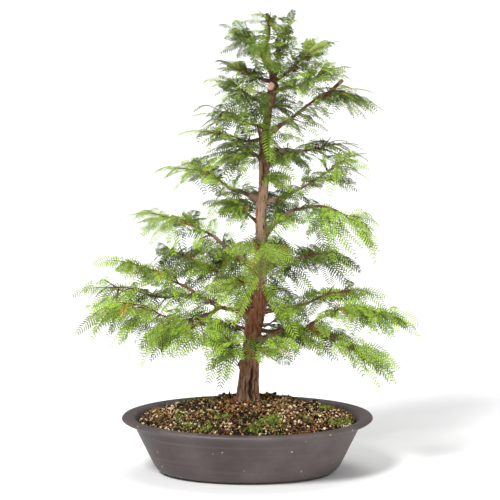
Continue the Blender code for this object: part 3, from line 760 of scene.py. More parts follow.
# One limb: its curve, and the taper from its root to its tip
class Limb:
    # It starts at a share of its carrier limb, or on the trunk's axis at a height
    def __init__(self, name, row, limbs):
        for column, value in zip(limbColumns, row):
            setattr(self, column, value)
        self.name = name
        if self.carrier in limbs:
            self.origin = limbs[self.carrier].point(self.root)
        else:
            place = smoothRows(trunkRows, np.array([self.root]))[0]
            self.origin = np.array([place[0], place[1], self.root])
        self.outward = aim(self.azimuth)
        self.whole = self.length()

    # Origin + outward reach t + up (rise t + arch 4t(1 - t) + wave sin 2 pi t)
    def point(self, t):
        t = np.asarray(t, float)[..., None]
        height = self.rise * t + self.arch * 4 * t * (1 - t) + self.wave * np.sin(fullTurn * t)
        return self.origin + self.outward * self.reach * t + upward * height

    # The direction from a little before t to a little after it
    def tangent(self, t):
        t = np.asarray(t, float)
        return unit(self.point(t + 0.01) - self.point(t - 0.01))

    # The sum of eleven straight pieces of the curve
    def length(self, start=0.0, end=1.0):
        return np.linalg.norm(np.diff(self.point(np.linspace(start, end, 12)), axis=0), axis=1).sum()

    # thin + taper length (1 - t)^1.3
    def radius(self, t):
        s = limbSettings
        return s["thin"] + s["taper"] * self.whole * (1 - t) ** 1.3

    # The stem of foliage starts a small gap past the bare part
    def stemStart(self):
        step = 0.001
        pace = np.linalg.norm(self.point(self.bare + step) - self.point(self.bare)) / step
        return self.bare + limbSettings["touchGap"] / pace if self.bare else 0.0

    # It ends where the last shoot starts, whose tip is the limb's own
    def stemEnd(self):
        past = limbSettings["stemTipShare"] * growthSettings["shootLength"] / self.whole
        return max(1 - past, self.stemStart() + limbSettings["stemLeast"])


growthSettings = {
    "shootLength": 0.066,
    "spacing": 0.0125,  # of side shoots along the stem
    "tries": 16,
    "triesPerSide": 4,
    "trialLoss": 0.03,  # how much shorter each further try is
    "droop": 0.20,
    "tipTurn": (-6.0, 6.0),
    "tipPitch": (-4.0, 8.0),
    "tipLength": 1.4,
    "sideTurn": (66.0, 40.0),
    "sideTurnPlay": (-14.0, 14.0),
    "sidePitch": (-24.0, 30.0),
    "sideLength": (1.22, 0.88),
    "sideLengthPlay": (0.86, 1.06),
    "sideLongest": 1.25,
    "sideRoll": (-22.0, 22.0),
    "match": 0.0004,  # how near to a corner of the solid a tip has to come
    "freeHang": 0.6,  # shares of the limb's hang and spread where no try meets the solid
    "freeLength": 0.85,
}


# The source's rule: a shoot at the stem's tip, and side shoots at even steps to alternate
# sides. Each place draws turn, pitch, length and roll until a try ends where the solid's does.
# A place that the solids leave free gets a shorter shoot of its own.
def solidShoots(limb, corners, s):
    chance = np.random.default_rng(seedOf(limb.name))
    start, end = limb.stemStart(), limb.stemEnd()
    first = start + limbSettings["clearOfTrunk"] / limb.whole
    first = start if limb.bare else min(first, (start + end) / 2)
    count = max(5, round(limb.length(first, end) / s["spacing"]))
    places = list(first + (end - first) * (np.arange(count) + 0.5) / count)
    kept, met = [], 0
    for k, t in enumerate([end - limbSettings["tipSink"] / limb.whole, *places]):
        ahead, root = limb.tangent(t), limb.point(t)
        up = squareTo(ahead, nearlyUp)
        out = (t - start) / (1 - start)
        for trial in range(s["tries"]):
            if k == 0:
                turn, pitch = chance.uniform(*s["tipTurn"]), chance.uniform(*s["tipPitch"])
                length = min(s["shootLength"], s["tipLength"] * limb.spread)
            else:
                side = 1 if (k + trial // s["triesPerSide"]) % 2 else -1
                turn = side * (between(s["sideTurn"], out) + chance.uniform(*s["sideTurnPlay"]))
                pitch = chance.uniform(*s["sidePitch"]) - limb.hang
                longest = s["sideLongest"] * s["shootLength"]
                length = min(limb.spread * between(s["sideLength"], out), longest)
                length *= chance.uniform(*s["sideLengthPlay"])
            length *= 1 - s["trialLoss"] * trial
            direction, across = leaving(ahead, up, turn, pitch)
            roll = turned(np.cross(direction, across), direction, chance.uniform(*s["sideRoll"]))
            tip = root + direction * length - upward * s["droop"] * length
            if np.linalg.norm(corners - tip, axis=1).min() < s["match"]:
                kept.append((root, direction, roll, length))
                met += 1
                break
        else:
            turn = (1 if k % 2 else -1) * between(s["sideTurn"], out)
            direction, across = leaving(ahead, up, turn, -limb.hang * s["freeHang"])
            length = limb.spread * between(s["sideLength"], out) * s["freeLength"]
            kept.append((root, direction, np.cross(direction, across), length))
    return kept, met


# The corners of a CAD node as rows of x, y and z
def nodeCorners(node):
    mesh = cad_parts[node].data
    corners = np.empty(len(mesh.vertices) * 3, np.float32)
    mesh.vertices.foreach_get("co", corners)
    return corners.reshape(-1, 3).astype(float)


limbs = {}
for limbName, limbRow in limbRows.items():
    limbs[limbName] = Limb(limbName, limbRow, limbs)
boughNodes = ["bough_" + name for name, limb in limbs.items() if limb.bare]
massNodes = ["mass_" + name for name in limbs]


# Distance by which two azimuths differ, in degrees
def apartBy(a, b):
    return np.abs((a - b + 180) % 360 - 180)


# Noise folded at its middle, which makes ridges: 1 on a ridge, falling to 0
def ridges(noise):
    return 1 - 2 * np.abs(noise - 0.5)


# Trunk surface: level rings about the axis, whose radius takes on the flare's lobes, knots
# that swell one side, folds cut along slanting lines, strips of bark and stepped flakes
def trunkSurface(s):
    heights = np.linspace(trunkRows[0][0], trunkRows[-1][0], s["rings"])
    x, y, radius = smoothRows(trunkRows, heights).T[:, :, None]
    angle = roundAngles(s["around"])
    degrees = np.degrees(angle)[None]
    h = heights[:, None]
    fade, size, lobes, turn = s["flare"]
    low = np.exp(-(h - heights[0]) / fade)
    middle, swing = s["lobes"]
    wall = radius + size * low * (middle + swing * np.cos(lobes * angle + turn))
    for knot, azimuth, swell, spread in s["knots"]:
        near = np.exp(-(((h - knot) / spread) ** 2))
        wall = wall + swell * near * np.clip(np.cos(angle - math.radians(azimuth)), 0, 1) ** 2
    relief = np.zeros_like(wall)
    wander = sum(size * np.sin(h * pace) for size, pace in s["wander"])
    early, fading = s["foldFades"]
    for foot, top, lowest, highest, depth, half in s["folds"]:
        centre = between((foot, top), shareOf(h, lowest, highest)) + wander
        ends = np.clip((h - lowest + early) / fading, 0, 1) * np.clip((highest - h) / fading, 0, 1)
        relief = relief - depth * ends * np.exp(-((apartBy(degrees, centre) / half) ** 2))
    twist = angle + h * s["twist"]
    share = np.clip(radius / s["fullRelief"], *s["reliefShare"])
    depth, *lumps = s["strips"]
    level, times = s["stripLevel"]
    relief = relief + depth * share * (ridges(wrappedNoise(twist, h, *lumps, 31)) - level) * times
    depth, *lumps = s["flakes"]
    relief = relief + depth * share * (np.floor(wrappedNoise(twist, h, *lumps, 32) * 4) / 2 - 1)
    wall = wall + relief
    z = np.broadcast_to(h - s["sunk"] * low**2, wall.shape)
    points = np.stack([x + wall * np.cos(angle), y + wall * np.sin(angle), z], -1)
    foot, tip = points[0].mean(0), points[-1].mean(0) + upward * s["tipRise"]
    points = np.concatenate([[foot], points.reshape(-1, 3), [tip]])
    relief = np.concatenate([[0], relief.ravel() / s["shade"], [0]])
    return points, ringTriangles(s["rings"], s["around"]), relief


# A bark tube: a circle of the limb's radius carried along its path, with strips of bark and
# roughness in noise that runs along it, and knots where the whole ring swells
def barkTube(path, radius, sides, seed):
    s = limbSettings
    points, triangles, ring = tubes(path[None], radius[None], sides)
    along = np.concatenate([[0], np.cumsum(np.linalg.norm(np.diff(path, axis=0), axis=1))])
    share = np.clip(radius / s["fullRelief"], *s["reliefShare"])[:, None]
    angle = roundAngles(sides)
    depth, *lumps = s["strips"]
    ridge = ridges(wrappedNoise(angle, along[:, None], *lumps, seed)) - s["stripLevel"]
    relief = ridge * share * depth
    depth, *lumps = s["rough"]
    relief = relief + (wrappedNoise(angle, along[:, None], *lumps, seed + 1) - 0.5) * share * depth
    swell, pace, least = s["knots"]
    knots = np.clip(softNoise(along * pace, seed, 0, seed + 2) - least, 0, 1)
    relief = relief + (knots * radius * swell)[:, None]
    wall = points[1:-1].reshape(len(path), sides, 3) + relief[..., None] * ring[0]
    points = np.concatenate([points[:1], wall.reshape(-1, 3), points[-1:]])
    return points, triangles, np.concatenate([[0], relief.ravel() / s["shade"], [0]])


# A limb's path strays from its curve by noise that is nothing at the root
def limbPath(limb, start, end, count):
    t = np.linspace(start, end, count)
    far = t * limb.whole
    size, bends, step = limbSettings["kink"]
    seed = seedOf(limb.name) * 0.37  # its own place in the noise
    stray = [softNoise(far * bends, seed + k * step, k, 41 + k) - 0.5 for k in range(3)]
    atRoot, atTip, left = limbSettings["strayFades"]
    grow = np.clip(far / atRoot, 0, 1) * np.clip((limb.whole - far) / atTip, left, 1)
    return limb.point(t) + np.stack(stray, -1) * 2 * size * grow[:, None], t


# A limb's radius: a share of the solid's, wider at its collar, and a fine twig past its bare part
def limbRadius(limb, t):
    s = limbSettings
    swell, soon = s["collar"]
    onTrunk = limb.carrier == "trunk"
    shown = np.clip(t * limb.whole - s["hidden"][0 if onTrunk else 1], 0, None)
    collar = 1 + swell * np.exp(-shown / soon)
    fine = shareOf(t, limb.bare, 1)
    radius = limb.radius(t) * (s["barkShare"] if onTrunk else s["sideShare"]) * collar
    return radius * (1 - fine) + np.minimum(radius, s["tipRadius"]) * fine


stubSettings = {
    # x, y and z of each end, and the two radii, of strands and cut stubs on trunk and boughs
    "rows": (
        ((0.0158, 0.0090, 0.4960), (0.0272, 0.0070, 0.4250), 0.0021, 0.0017),
        ((0.0300, 0.0110, 0.5100), (0.0180, 0.0085, 0.4700), 0.0030, 0.0024),
        ((-0.0040, 0.0150, 0.2280), (-0.0015, 0.0080, 0.2400), 0.0050, 0.0016),
        ((0.0100, 0.0160, 0.2300), (0.0040, 0.0030, 0.2420), 0.0048, 0.0014),
        ((0.0160, 0.0140, 0.2360), (0.0330, 0.0130, 0.2500), 0.0044, 0.0016),
        ((-0.0060, 0.0160, 0.1490), (-0.0150, 0.0150, 0.1520), 0.0022, 0.0012),
        ((0.1080, 0.0330, 0.5320), (0.1350, 0.0380, 0.5590), 0.0028, 0.0022),
        ((0.0350, 0.0150, 0.5530), (0.0330, 0.0020, 0.5570), 0.0048, 0.0042),
        ((0.0180, 0.0150, 0.3900), (0.0080, 0.0110, 0.3960), 0.0020, 0.0011),
    ),
    "bend": 0.0012,
    "bendTurn": (40, 77),  # azimuth of the first one's bend, and the step to the next
    "bendRise": 10,
    "sides": 18,
    "rings": 26,
    "rounding": (1.02, 0.06, 0.05),  # share of its line where it ends, that of the end, and least
}
barkSettings = {
    "step": 0.0016,  # between the rings of a bough
    "sides": 26,
    "past": 0.02,  # how much further than its bare part a bough's bark goes
    "fewestRings": 24,
    "boughTint": 0.85,  # how much of the boughs' own colour they and the stubs have
    "stubTint": 0.90,
    "finish": (0.85, 0.25),
    "patches": ((1, 1, 0.35), (60.0, 5.0, 0.6), 0.06),  # stretch and noise, and how far they shift
    "heights": (0.10, 0.70),  # between which the colours lie
    "colours": (
        (0.00, (96, 64, 48)), (0.05, (164, 126, 98)), (0.13, (156, 112, 84)), (0.20, (160, 102, 66)),
        (0.33, (150, 100, 70)), (0.38, (204, 168, 140)), (0.56, (200, 162, 134)),
        (0.64, (124, 88, 68)), (1.00, (84, 62, 50)),
    ),
    "boughColour": (116, 78, 57),
    # stretch, shift, noise, ramp and colour of dark streaks, grey flakes and red drifts
    "layers": (
        ((1, 1, 0.22), (0, 0, 0), (330.0, 5.0, 0.7), (0.50, 0.66), (60, 40, 30)),
        ((1, 1, 0.4), (0, 0, 0), (210.0, 5.0, 0.7), (0.54, 0.70), (190, 174, 158)),
        ((1, 1, 0.3), (0.7, 0.3, 0), (110.0, 2.0, 0.5), (0.62, 0.80), (158, 78, 46)),
    ),
    # relief from and to, share of the colour there, and the colour: painted highlight on the ridges, then
    # painted shade in the folds
    "reliefHighlightAndShade": (((0.15, 0.9), 0.5, (184, 160, 138)), ((-0.25, -1.5), 0.92, (38, 24, 18))),
    "bump": (0.5, 1.0, 0.0018),  # share of the flakes in it, strength, distance
}


# Each stub's line bows to one side by half a sine, and its end is rounded off
def stubTube(row, number, s):
    a, b, wide, narrow = row
    share = np.linspace(0, 1, s["rings"])[:, None]
    path = np.array(a) + (np.array(b) - np.array(a)) * share
    first, step = s["bendTurn"]
    path = path + np.sin(share * math.pi) * s["bend"] * aim(first + step * number, s["bendRise"])
    radius = between((wide, narrow), share[:, 0])
    end, long, least = s["rounding"]
    radius = radius * np.sqrt(np.clip((end - share[:, 0]) / long, least, 1))
    return barkTube(path, radius, s["sides"], 120 + number)


# Trunk, boughs and stubs in one piece, each with its share of the boughs' own colour
def makeBark(s):
    tubesOfBark = [(*trunkSurface(trunkSettings), 0.0)]
    for number, limb in enumerate(limbs.values()):
        if limb.bare:
            count = max(s["fewestRings"], round(limb.whole * limb.bare / s["step"]))
            path, t = limbPath(limb, 0.0, limb.bare + s["past"], count)
            made = barkTube(path, limbRadius(limb, t), s["sides"], 50 + number)
            tubesOfBark.append((*made, s["boughTint"]))
    for number, row in enumerate(stubSettings["rows"]):
        tubesOfBark.append((*stubTube(row, number, stubSettings), s["stubTint"]))
    points, triangles = joinParts([made[:2] for made in tubesOfBark])
    values = {
        # the relief also sets the painted highlight on the ridges and the painted shade in the folds
        "relief": np.concatenate([made[2] for made in tubesOfBark]),
        "limb": np.concatenate([np.full(len(made[0]), made[3]) for made in tubesOfBark]),
    }
    nodes = ["trunk", *boughNodes]
    putPiece("trunkBark", points, triangles, barkMaterial(s), nodes, values=values)
    print(f"{len(boughNodes)} boughs grown")


# Bark: grey brown at the foot, red brown at the whorls, pale and flaky above them, with painted
# shade darkening the folds and a painted highlight paling the ridges
def barkMaterial(s):
    made, tree, shader, place = startMaterial("redwoodBark", *s["finish"])
    height = addNode(tree, "ShaderNodeSeparateXYZ", {"Vector": place}).outputs["Z"]
    stretch, noise, far = s["patches"]
    patch = addNoise(tree, stretched(tree, place, stretch), *noise)
    level = addNode(tree, "ShaderNodeMath", {0: patch, 1: far, 2: height}, operation="MULTIPLY_ADD")
    base = addRamp(tree, mapRange(tree, level.outputs[0], *s["heights"], 0.0, 1.0), s["colours"])
    limb = addNode(tree, "ShaderNodeAttribute", attribute_name="limb").outputs["Fac"]
    base = mixed(tree, limb, base, paint(*s["boughColour"]))
    noises = []
    for stretch, shift, noise, ends, colour in s["layers"]:
        noises.append(addNoise(tree, stretched(tree, place, stretch, shift), *noise))
        base = mixed(tree, greyRamp(tree, noises[-1], *ends), base, paint(*colour))
    relief = addNode(tree, "ShaderNodeAttribute", attribute_name="relief").outputs["Fac"]
    # painted highlight on the ridges and painted shade in the folds
    for ends, most, colour in s["reliefHighlightAndShade"]:
        base = mixed(tree, mapRange(tree, relief, *ends, 0.0, most), base, paint(*colour))
    feed(tree, shader.inputs["Base Color"], base)
    share, strength, distance = s["bump"]
    addBump(tree, shader, mixed(tree, share, *noises[:2]), strength, distance)
    return made


scarSettings = {
    "centre": (0.0329, 0.0006, 0.5574),
    "facing": (261, 17),
    "half": (0.0044, 0.0058),  # across and tall
    "oval": ((0.10, 2, 0.5), (0.06, 5, 0)),  # unevenness of its outline: size, waves round, turn
    "dish": 0.0006,
    "rim": 0.0004,
    "rimFrom": 0.8,  # share of the way out where the rim begins to rise
    "edge": (0.93, 0.003),  # from where and how far the edge turns down
    "depth": 0.006,
    "rings": 26,
    "innermost": 0.02,
    "around": 48,
    "wood": (
        (0.7, 0.3), (700.0, 3.0, 0.6), ((0.3, (196, 150, 128)), (0.7, (232, 196, 176))),
        ((700.0, 3.0, 0.6), 0.4, 0.0005),
    ),
}


# The old pruning cut: a shallow dish of pale wood facing the front, ringed by rolled bark
def makeScar(s):
    share = np.linspace(s["innermost"], 1, s["rings"])[:, None]
    angle = roundAngles(s["around"])
    reach = share * (1 + ripple(s["oval"], angle))
    across, tall = s["half"][0] * reach * np.cos(angle), s["half"][1] * reach * np.sin(angle)
    past = (share - s["rimFrom"]) / (1 - s["rimFrom"])
    rim = np.where(past > 0, np.sin(past * math.pi) * s["rim"], 0)
    edge, down = s["edge"]
    out = s["dish"] * share**2 + rim - down * shareOf(share, edge, 1)
    facing, centre = aim(*s["facing"]), np.array(s["centre"])
    side = unit(np.cross(upward, facing))
    front = centre + across[..., None] * side + tall[..., None] * np.cross(facing, side)
    front = front + out[..., None] * facing
    back = front[-1:] - facing * s["depth"]
    rings = np.concatenate([front, back]).reshape(-1, 3)
    points = np.concatenate([[centre], rings, [back.reshape(-1, 3).mean(0)]])
    made = speckled("cutWood", *s["wood"])
    putPiece("pruningCut", points, ringTriangles(s["rings"] + 1, s["around"]), made, [])


makeBark(barkSettings)
makeScar(scarSettings)


# Foliage

featherSettings = {
    "needleStep": 0.0034,
    "pairs": (4, 24),  # least and most
    "needleLength": 0.0116,
    "slender": 0.27,  # most that a needle is of its feather's length
    "finer": 0.16,  # how much shorter needles are high in the crown
    "needleWidth": 0.0016,
    "twist": 0.22,  # how far needles turn about themselves
    "frontFrom": 0.045,  # feathers nearer than this show their face to the front
    "levelFrom": (0.30, 0.46),  # between these heights they turn level, and are seen edge on
    "tumble": 0.26,  # how much chance there is in the way they face
    "crownMiddle": (0.02, 0.015, 0),
    # how much they face the front, low and high in the crown, outward, and up, low and high
    "face": ((0.75, 0.25), 0.35, (0.70, 1.20)),
    "angles": (74, 50),  # from the rachis at its foot and at its tip
    "anglePlay": 0.035,
    "lift": (-0.03, 0.05),  # of needles out of the feather's face: middle and spread
    "sizePlay": (0.94, 1.04),
    # length of needles: least, what a sine adds, how much of its half turn, from where, power
    "outline": (0.28, 0.72, 0.86, 0.12, 0.8),
    "rachisRadius": (0.00045, 0.00022),
    "rachisPoints": 6,
    "rachisEnd": 0.98,
    "rachisGreen": (
        (0.6, 0.3), (60.0, 3.0, 0.6),
        ((0.35, (134, 150, 66)), (0.55, (116, 134, 58)), (0.72, (150, 120, 70))),
    ),
    "needleFinish": (0.52, 0.30),
    "needleNoise": (260.0, 4.0, 0.75),
    "needleTints": (0.40, 0.62),  # where in the noise a needle has its two tints
    "bareFoot": 0.07,
    "boxMargin": (-0.003, 0.003, -0.004),  # round a mass's box, along x, y and z
    "hangMargin": 0.018,  # how much further down than the mass's box
    "leftMargin": (0.42, 0.016),  # above this height, how much further to the left
    "leastFit": 0.36,  # a feather that would be cut shorter than this is left out
    "lowest": 0.104,
    # x, and the height that the crown's lower edge keeps there as the front sees it
    "hem": (
        (-0.27, 0.180), (-0.16, 0.186), (-0.152, 0.164), (-0.100, 0.162), (-0.092, 0.186),
        (-0.066, 0.184), (-0.056, 0.126), (-0.016, 0.126), (-0.010, 0.158), (0.024, 0.164),
        (0.034, 0.172), (0.140, 0.174), (0.150, 0.154), (0.172, 0.150), (0.184, 0.130), (0.24, 0.134),
    ),
    "hemPlay": 0.009,
    "hemSlope": 0.21,  # that height's change with y
    # x, y, z and radius: what the front is to see of cut and trunk has no feather before it
    "clear": (
        (0.0335, 0.0052, 0.5570, 0.0095), (0.0190, 0.0080, 0.4250, 0.0090),
        (0.0180, 0.0080, 0.4080, 0.0100), (0.0150, 0.0080, 0.3900, 0.0100),
        (0.0130, 0.0080, 0.3720, 0.0100), (0.0120, 0.0080, 0.3560, 0.0090),
        (0.0130, 0.0080, 0.2560, 0.0060), (0.0080, 0.0080, 0.2400, 0.0090),
        (0.0050, 0.0080, 0.2240, 0.0110), (0.0300, 0.0080, 0.2140, 0.0100),
        (0.0040, 0.0080, 0.2080, 0.0100), (0.0300, 0.0080, 0.1960, 0.0090),
        (0.0450, 0.0080, 0.2060, 0.0090),
    ),
}
hemRows = np.array(featherSettings["hem"])
clearSpots = np.array(featherSettings["clear"])
# Lime, spring, leaf and deep green are painted light and shade: lit and shaded copies of one green
# name: (one colour, another close to it)
tintSettings = {
    "limeNeedles": ((172, 204, 68), (144, 180, 54)),
    "springNeedles": ((160, 190, 66), (128, 160, 48)),
    "leafNeedles": ((146, 170, 62), (110, 136, 44)),
    "deepNeedles": ((94, 114, 40), (54, 72, 24)),
    "paleNeedles": ((176, 190, 90), (140, 158, 70)),
    "amberNeedles": ((196, 174, 70), (166, 130, 58)),
    "coolNeedles": ((112, 150, 66), (84, 124, 50)),
}
tintNames = list(tintSettings)

feathers = []  # rows of origin, ahead, up, length, needle length, sag and tint
atOrigin, atAhead, atUp = slice(0, 3), slice(3, 6), slice(6, 9)  # columns of those rows
atLength, atNeedle, atSag, atTint = 9, 10, 11, 12
twigs = {}  # count of points: rows of (path, radii)


# Twigs are kept by their count of points, so that each kind is one array later
def addTwig(path, radii):
    twigs.setdefault(len(path), []).append((np.asarray(path), np.asarray(radii)))


# Whether a feather leaves what lies behind it in sight: none of five places along it is before
# a clear spot, as seen from the front and a little above
def isClear(origin, span):
    places = (origin + span * np.linspace(0.2, 1, 5)[:, None])[:, None]
    x, y, z, radius = clearSpots.T
    upright = places[..., 2] - z + featherSettings["hemSlope"] * (places[..., 1] - y)
    covers = (places[..., 1] < y) & (np.hypot(places[..., 0] - x, upright) < radius)
    return not covers.any()


# The share of a span that stays within a box, from an origin inside it
def fitShare(origin, span, low, high):
    fits = 1.0
    for axis in range(3):
        tip = origin[axis] + span[axis]
        if tip > high[axis] and span[axis] > 1e-6:
            fits = min(fits, (high[axis] - origin[axis]) / span[axis])
        if tip < low[axis] and span[axis] < -1e-6:
            fits = min(fits, (low[axis] - origin[axis]) / span[axis])
    return fits


# A feather shows its face upward and outward, and toward the nearer of front and back. It is
# kept within its mass's box, and above the crown's lower edge, by shortening it.
def addFeather(box, origin, ahead, length, wide, sag, tint, chance):
    s = featherSettings
    ahead = unit(ahead)
    outward = unit((origin - s["crownMiddle"]) * [1, 1, 0])
    facing = np.array([0, math.copysign(1, origin[1] - s["frontFrom"]), 0])
    level = shareOf(origin[2], *s["levelFrom"])
    front, out, high = s["face"]
    up = between(front, level) * facing + out * outward + between(high, level) * upward
    up = squareTo(ahead, up + chance.normal(0, s["tumble"], 3))
    tip = origin + ahead * length - upward * sag * length
    span = tip - origin
    low = box[0].copy()
    hem = np.interp(tip[0], *hemRows.T) - s["hemSlope"] * tip[1] + chance.normal(0, s["hemPlay"])
    low[2] = max(low[2], hem)
    fits = fitShare(origin, span, low, box[1])
    length = length * fits
    wide = min(wide, s["slender"] * length) * (1 - s["finer"] * level)
    if tip[2] > s["lowest"] and fits > s["leastFit"] and isClear(origin, span * fits):
        feathers.append((*origin, *ahead, *up, length, wide, sag, tintNames.index(tint)))


spraySettings = {
    # name: (share of the shoot's length, share that is twig, feathers at these shares,
    #        pitch, turn, how much brighter in painted light)
    "layers": {
        "spine": (1.00, 0.44, (0.07, 0.19, 0.31, 0.42), (-4, 6), (-5, 5), -0.06),
        "rising": (0.90, 0.34, (0.20,), (16, 44), (-34, 34), 0.12),
    },
    "nodeShare": 0.24,  # of shoots with a few young yellow feathers at their foot
    "nodeFeathers": 3,
    "nodeFan": (-70, 70, (-15, 15)),  # first angle, step and play
    "nodeLength": (0.010, 0.018),
    "nodeShape": (0.3, 0.6, 0.1),  # lift, width and sag
    "risingShare": 0.7,
    "risingTo": 0.60,  # higher up the shoots stay slender
    "reachPlay": (0.92, 1.04),
    "twigRadius": (0.0010, 0.0005),
    "twigPlay": (0.8, 1.15),
    "twigPoints": 6,
    "twigPast": 0.04,  # how far a twig goes on past the foot of its last feather
    "endTip": 1.04,  # where that feather ends, as a share of the shoot
    "endWide": (0.88, 1.12),
    "endBright": 0.10,  # how much brighter it is, as painted light
    "endSag": 0.26,
    "sideAngle": (64, 46),
    "sideAnglePlay": (-8, 8),
    "sideLength": (0.84, 0.64),
    "sideLengthPlay": (0.85, 1.12),
    "sidePitch": (-6, 38),
    "sideWide": (0.82, 1.04),
    "sideSag": (0.28, 0.70),
    "stemStep": 0.0136,
    "stemTurn": (34, 76),
    "stemSag": (0.25, 0.75),
    "stemLength": (0.034, 0.056),
    "stemTaper": 0.25,  # how much shorter they are at the limb's tip
    "stemWide": (0.85, 1.08),
    "stemPitch": (-16, 68),
    "stemFrom": 0.020,
    "stemPoints": 26,
    "stemPast": 0.02,  # how far a stem goes on past its last shoot
    "boughStep": 0.0110,
    "boughLength": (0.028, 0.050),
    "boughPitch": (-42, 66),
    "boughFrom": (0.42, 0.20),  # share of a bough that is bare, low and high in the crown
    "highFrom": (0.20, 0.36),  # heights between which that changes
    "crowdFrom": (0.34, 0.43),
    "crowd": 0.6,  # how many more feathers stems and boughs have above that
    "boughReach": 0.034,
    "boughShoots": (0.50, 0.85),  # at these shares of a bough
    "boughShoot": (0.056, 62, (-40, 12)),  # length, angle from the bough, pitch
    "tipShoots": (0.80, 0.97),  # the same near the end of the stem, high in the crown
    "tipShoot": (0.058, 36, (-34, 20)),
    "morePlay": (0.8, 1.1),
    "brightOut": (0.25, 0.1),  # how much further out shoots of the solids and others count as, for the painted light
}
# Painted light and shade of the needles: each feather's brightness, from its place and chance, picks a lit
# or shaded green
paintedLightTintRule = {
    "plain": 0.04,
    "outer": 0.24,  # painted light: how much brighter tips are
    "behind": (2.4, -0.02),  # painted shade: how much darker a metre further back than this y
    "high": (0.34, 0.40, 0.60),  # painted shade: how much darker, between these heights
    "inner": (0.06, 0.42, 0.28),  # painted shade: how much darker near the trunk, below and above this height
    "trunk": (0.02, 0.045),  # x of the trunk, and the reach of that
    "play": 0.40,
    "rare": (0.006, 0.018, 0.070),  # draws below which a feather is amber, cool or pale
    "steps": (0.44, 0.16, -0.20),  # painted brightness above which it is lime, spring or leaf green
}


# The tint of a feather, as painted light and shade: bright toward the front, the tips and the lower
# crown, in painted shade deep near the trunk, behind and under other feathers
def pickTint(origin, out, brighter, chance):
    s = paintedLightTintRule
    loss, back = s["behind"]
    highLoss, *heights = s["high"]
    high = shareOf(origin[2], *heights)
    # painted light out at the tips and in front; painted shade behind, high in the crown and near the trunk
    bright = s["plain"] + s["outer"] * out + brighter - loss * max(origin[1], back) - highLoss * high
    middle, reach = s["trunk"]
    low, upper, limit = s["inner"]
    inner = math.exp(-(((origin[0] - middle) / reach) ** 2))
    bright = bright - (low if origin[2] < limit else upper) * inner + chance.normal(0, s["play"])
    draw = chance.uniform()
    amber, cool, pale = s["rare"]
    lime, spring, leaf = s["steps"]
    if draw < amber and high < 0.5:
        return "amberNeedles"
    if draw < cool:
        return "coolNeedles"
    if draw < pale and out > 0.5:
        return "paleNeedles"
    if bright > lime and high < 1:
        return "limeNeedles"
    if bright > spring:
        return "springNeedles"
    return "leafNeedles" if bright > leaf else "deepNeedles"


# A shoot of the solids carried on, with a second one rising beside it. Each is a twig along
# root + ahead reach p - up droop reach p^2 at a place p, with a long feather at its end and
# shorter ones to alternate sides, which rise a little and arch over.
def growShoot(box, shoot, out, chance):
    s = spraySettings
    needle = featherSettings["needleLength"]
    root, direction, roll, length = shoot
    droop = upward * growthSettings["droop"]
    across = unit(np.cross(roll, direction))
    first, step, play = s["nodeFan"]
    lift, wide, sag = s["nodeShape"]
    for k in range(s["nodeFeathers"] if chance.uniform() < s["nodeShare"] else 0):
        heading = turned(direction, roll, first + step * k + chance.uniform(*play)) + upward * lift
        size = chance.uniform(*s["nodeLength"])
        addFeather(box, root, heading, size, needle * wide, sag, "amberNeedles", chance)
    for name, (share, twigShare, places, pitch, turn, brighter) in s["layers"].items():
        if name == "rising" and (root[2] > s["risingTo"] or chance.uniform() > s["risingShare"]):
            continue
        ahead = turned(direction, across, -chance.uniform(*pitch))
        ahead = turned(ahead, roll, chance.uniform(*turn))
        reach = length * share * chance.uniform(*s["reachPlay"])

        # The twig's line at one place, or at a column of them
        def along(place):
            return root + ahead * reach * place - droop * reach * place**2

        path = along(np.linspace(0, twigShare + s["twigPast"], s["twigPoints"])[:, None])
        addTwig(path, np.linspace(*s["twigRadius"], s["twigPoints"]) * chance.uniform(*s["twigPlay"]))
        wide = needle * chance.uniform(*s["endWide"])
        tint = pickTint(root, out, brighter + s["endBright"], chance)
        heading, size = ahead - droop * 2 * twigShare, reach * (s["endTip"] - twigShare)
        addFeather(box, along(twigShare), heading, size, wide, s["endSag"], tint, chance)
        side = 1 if chance.uniform() < 0.5 else -1
        for place in places:
            side = -side
            done = place / twigShare
            angle = side * between(s["sideAngle"], done) + chance.uniform(*s["sideAnglePlay"])
            heading = turned(unit(ahead - droop * 2 * place), roll, angle)
            heading = turned(heading, unit(np.cross(upward, heading)), -chance.uniform(*s["sidePitch"]))
            size = reach * between(s["sideLength"], done) * chance.uniform(*s["sideLengthPlay"])
            wide, sag = needle * chance.uniform(*s["sideWide"]), chance.uniform(*s["sideSag"])
            tint = pickTint(root, out, brighter, chance)
            addFeather(box, along(place), heading, size, wide, sag, tint, chance)


# Feathers straight from a stem or a bough, to alternate sides, rising and arching over
def growStem(limb, box, start, end, step, lengths, pitches, chance):
    s = spraySettings
    crowd = shareOf(limb.origin[2], *s["crowdFrom"]) * s["crowd"]
    count = max(2, round(limb.length(start, end) / step * (1 + crowd)))
    for k, t in enumerate(np.linspace(start, end, count)):
        ahead, root = limb.tangent(t), limb.point(t)
        turn = (1 if k % 2 else -1) * chance.uniform(*s["stemTurn"])
        heading = leaving(ahead, squareTo(ahead, nearlyUp), turn, chance.uniform(*pitches))[0]
        out = (t - limb.stemStart()) / (1 - limb.stemStart())
        size = chance.uniform(*lengths) * (1 - s["stemTaper"] * out)
        wide = featherSettings["needleLength"] * chance.uniform(*s["stemWide"])
        sag = chance.uniform(*s["stemSag"])
        tint = pickTint(root, out, 0.0, chance)
        addFeather(box, root, heading, size, wide, sag, tint, chance)


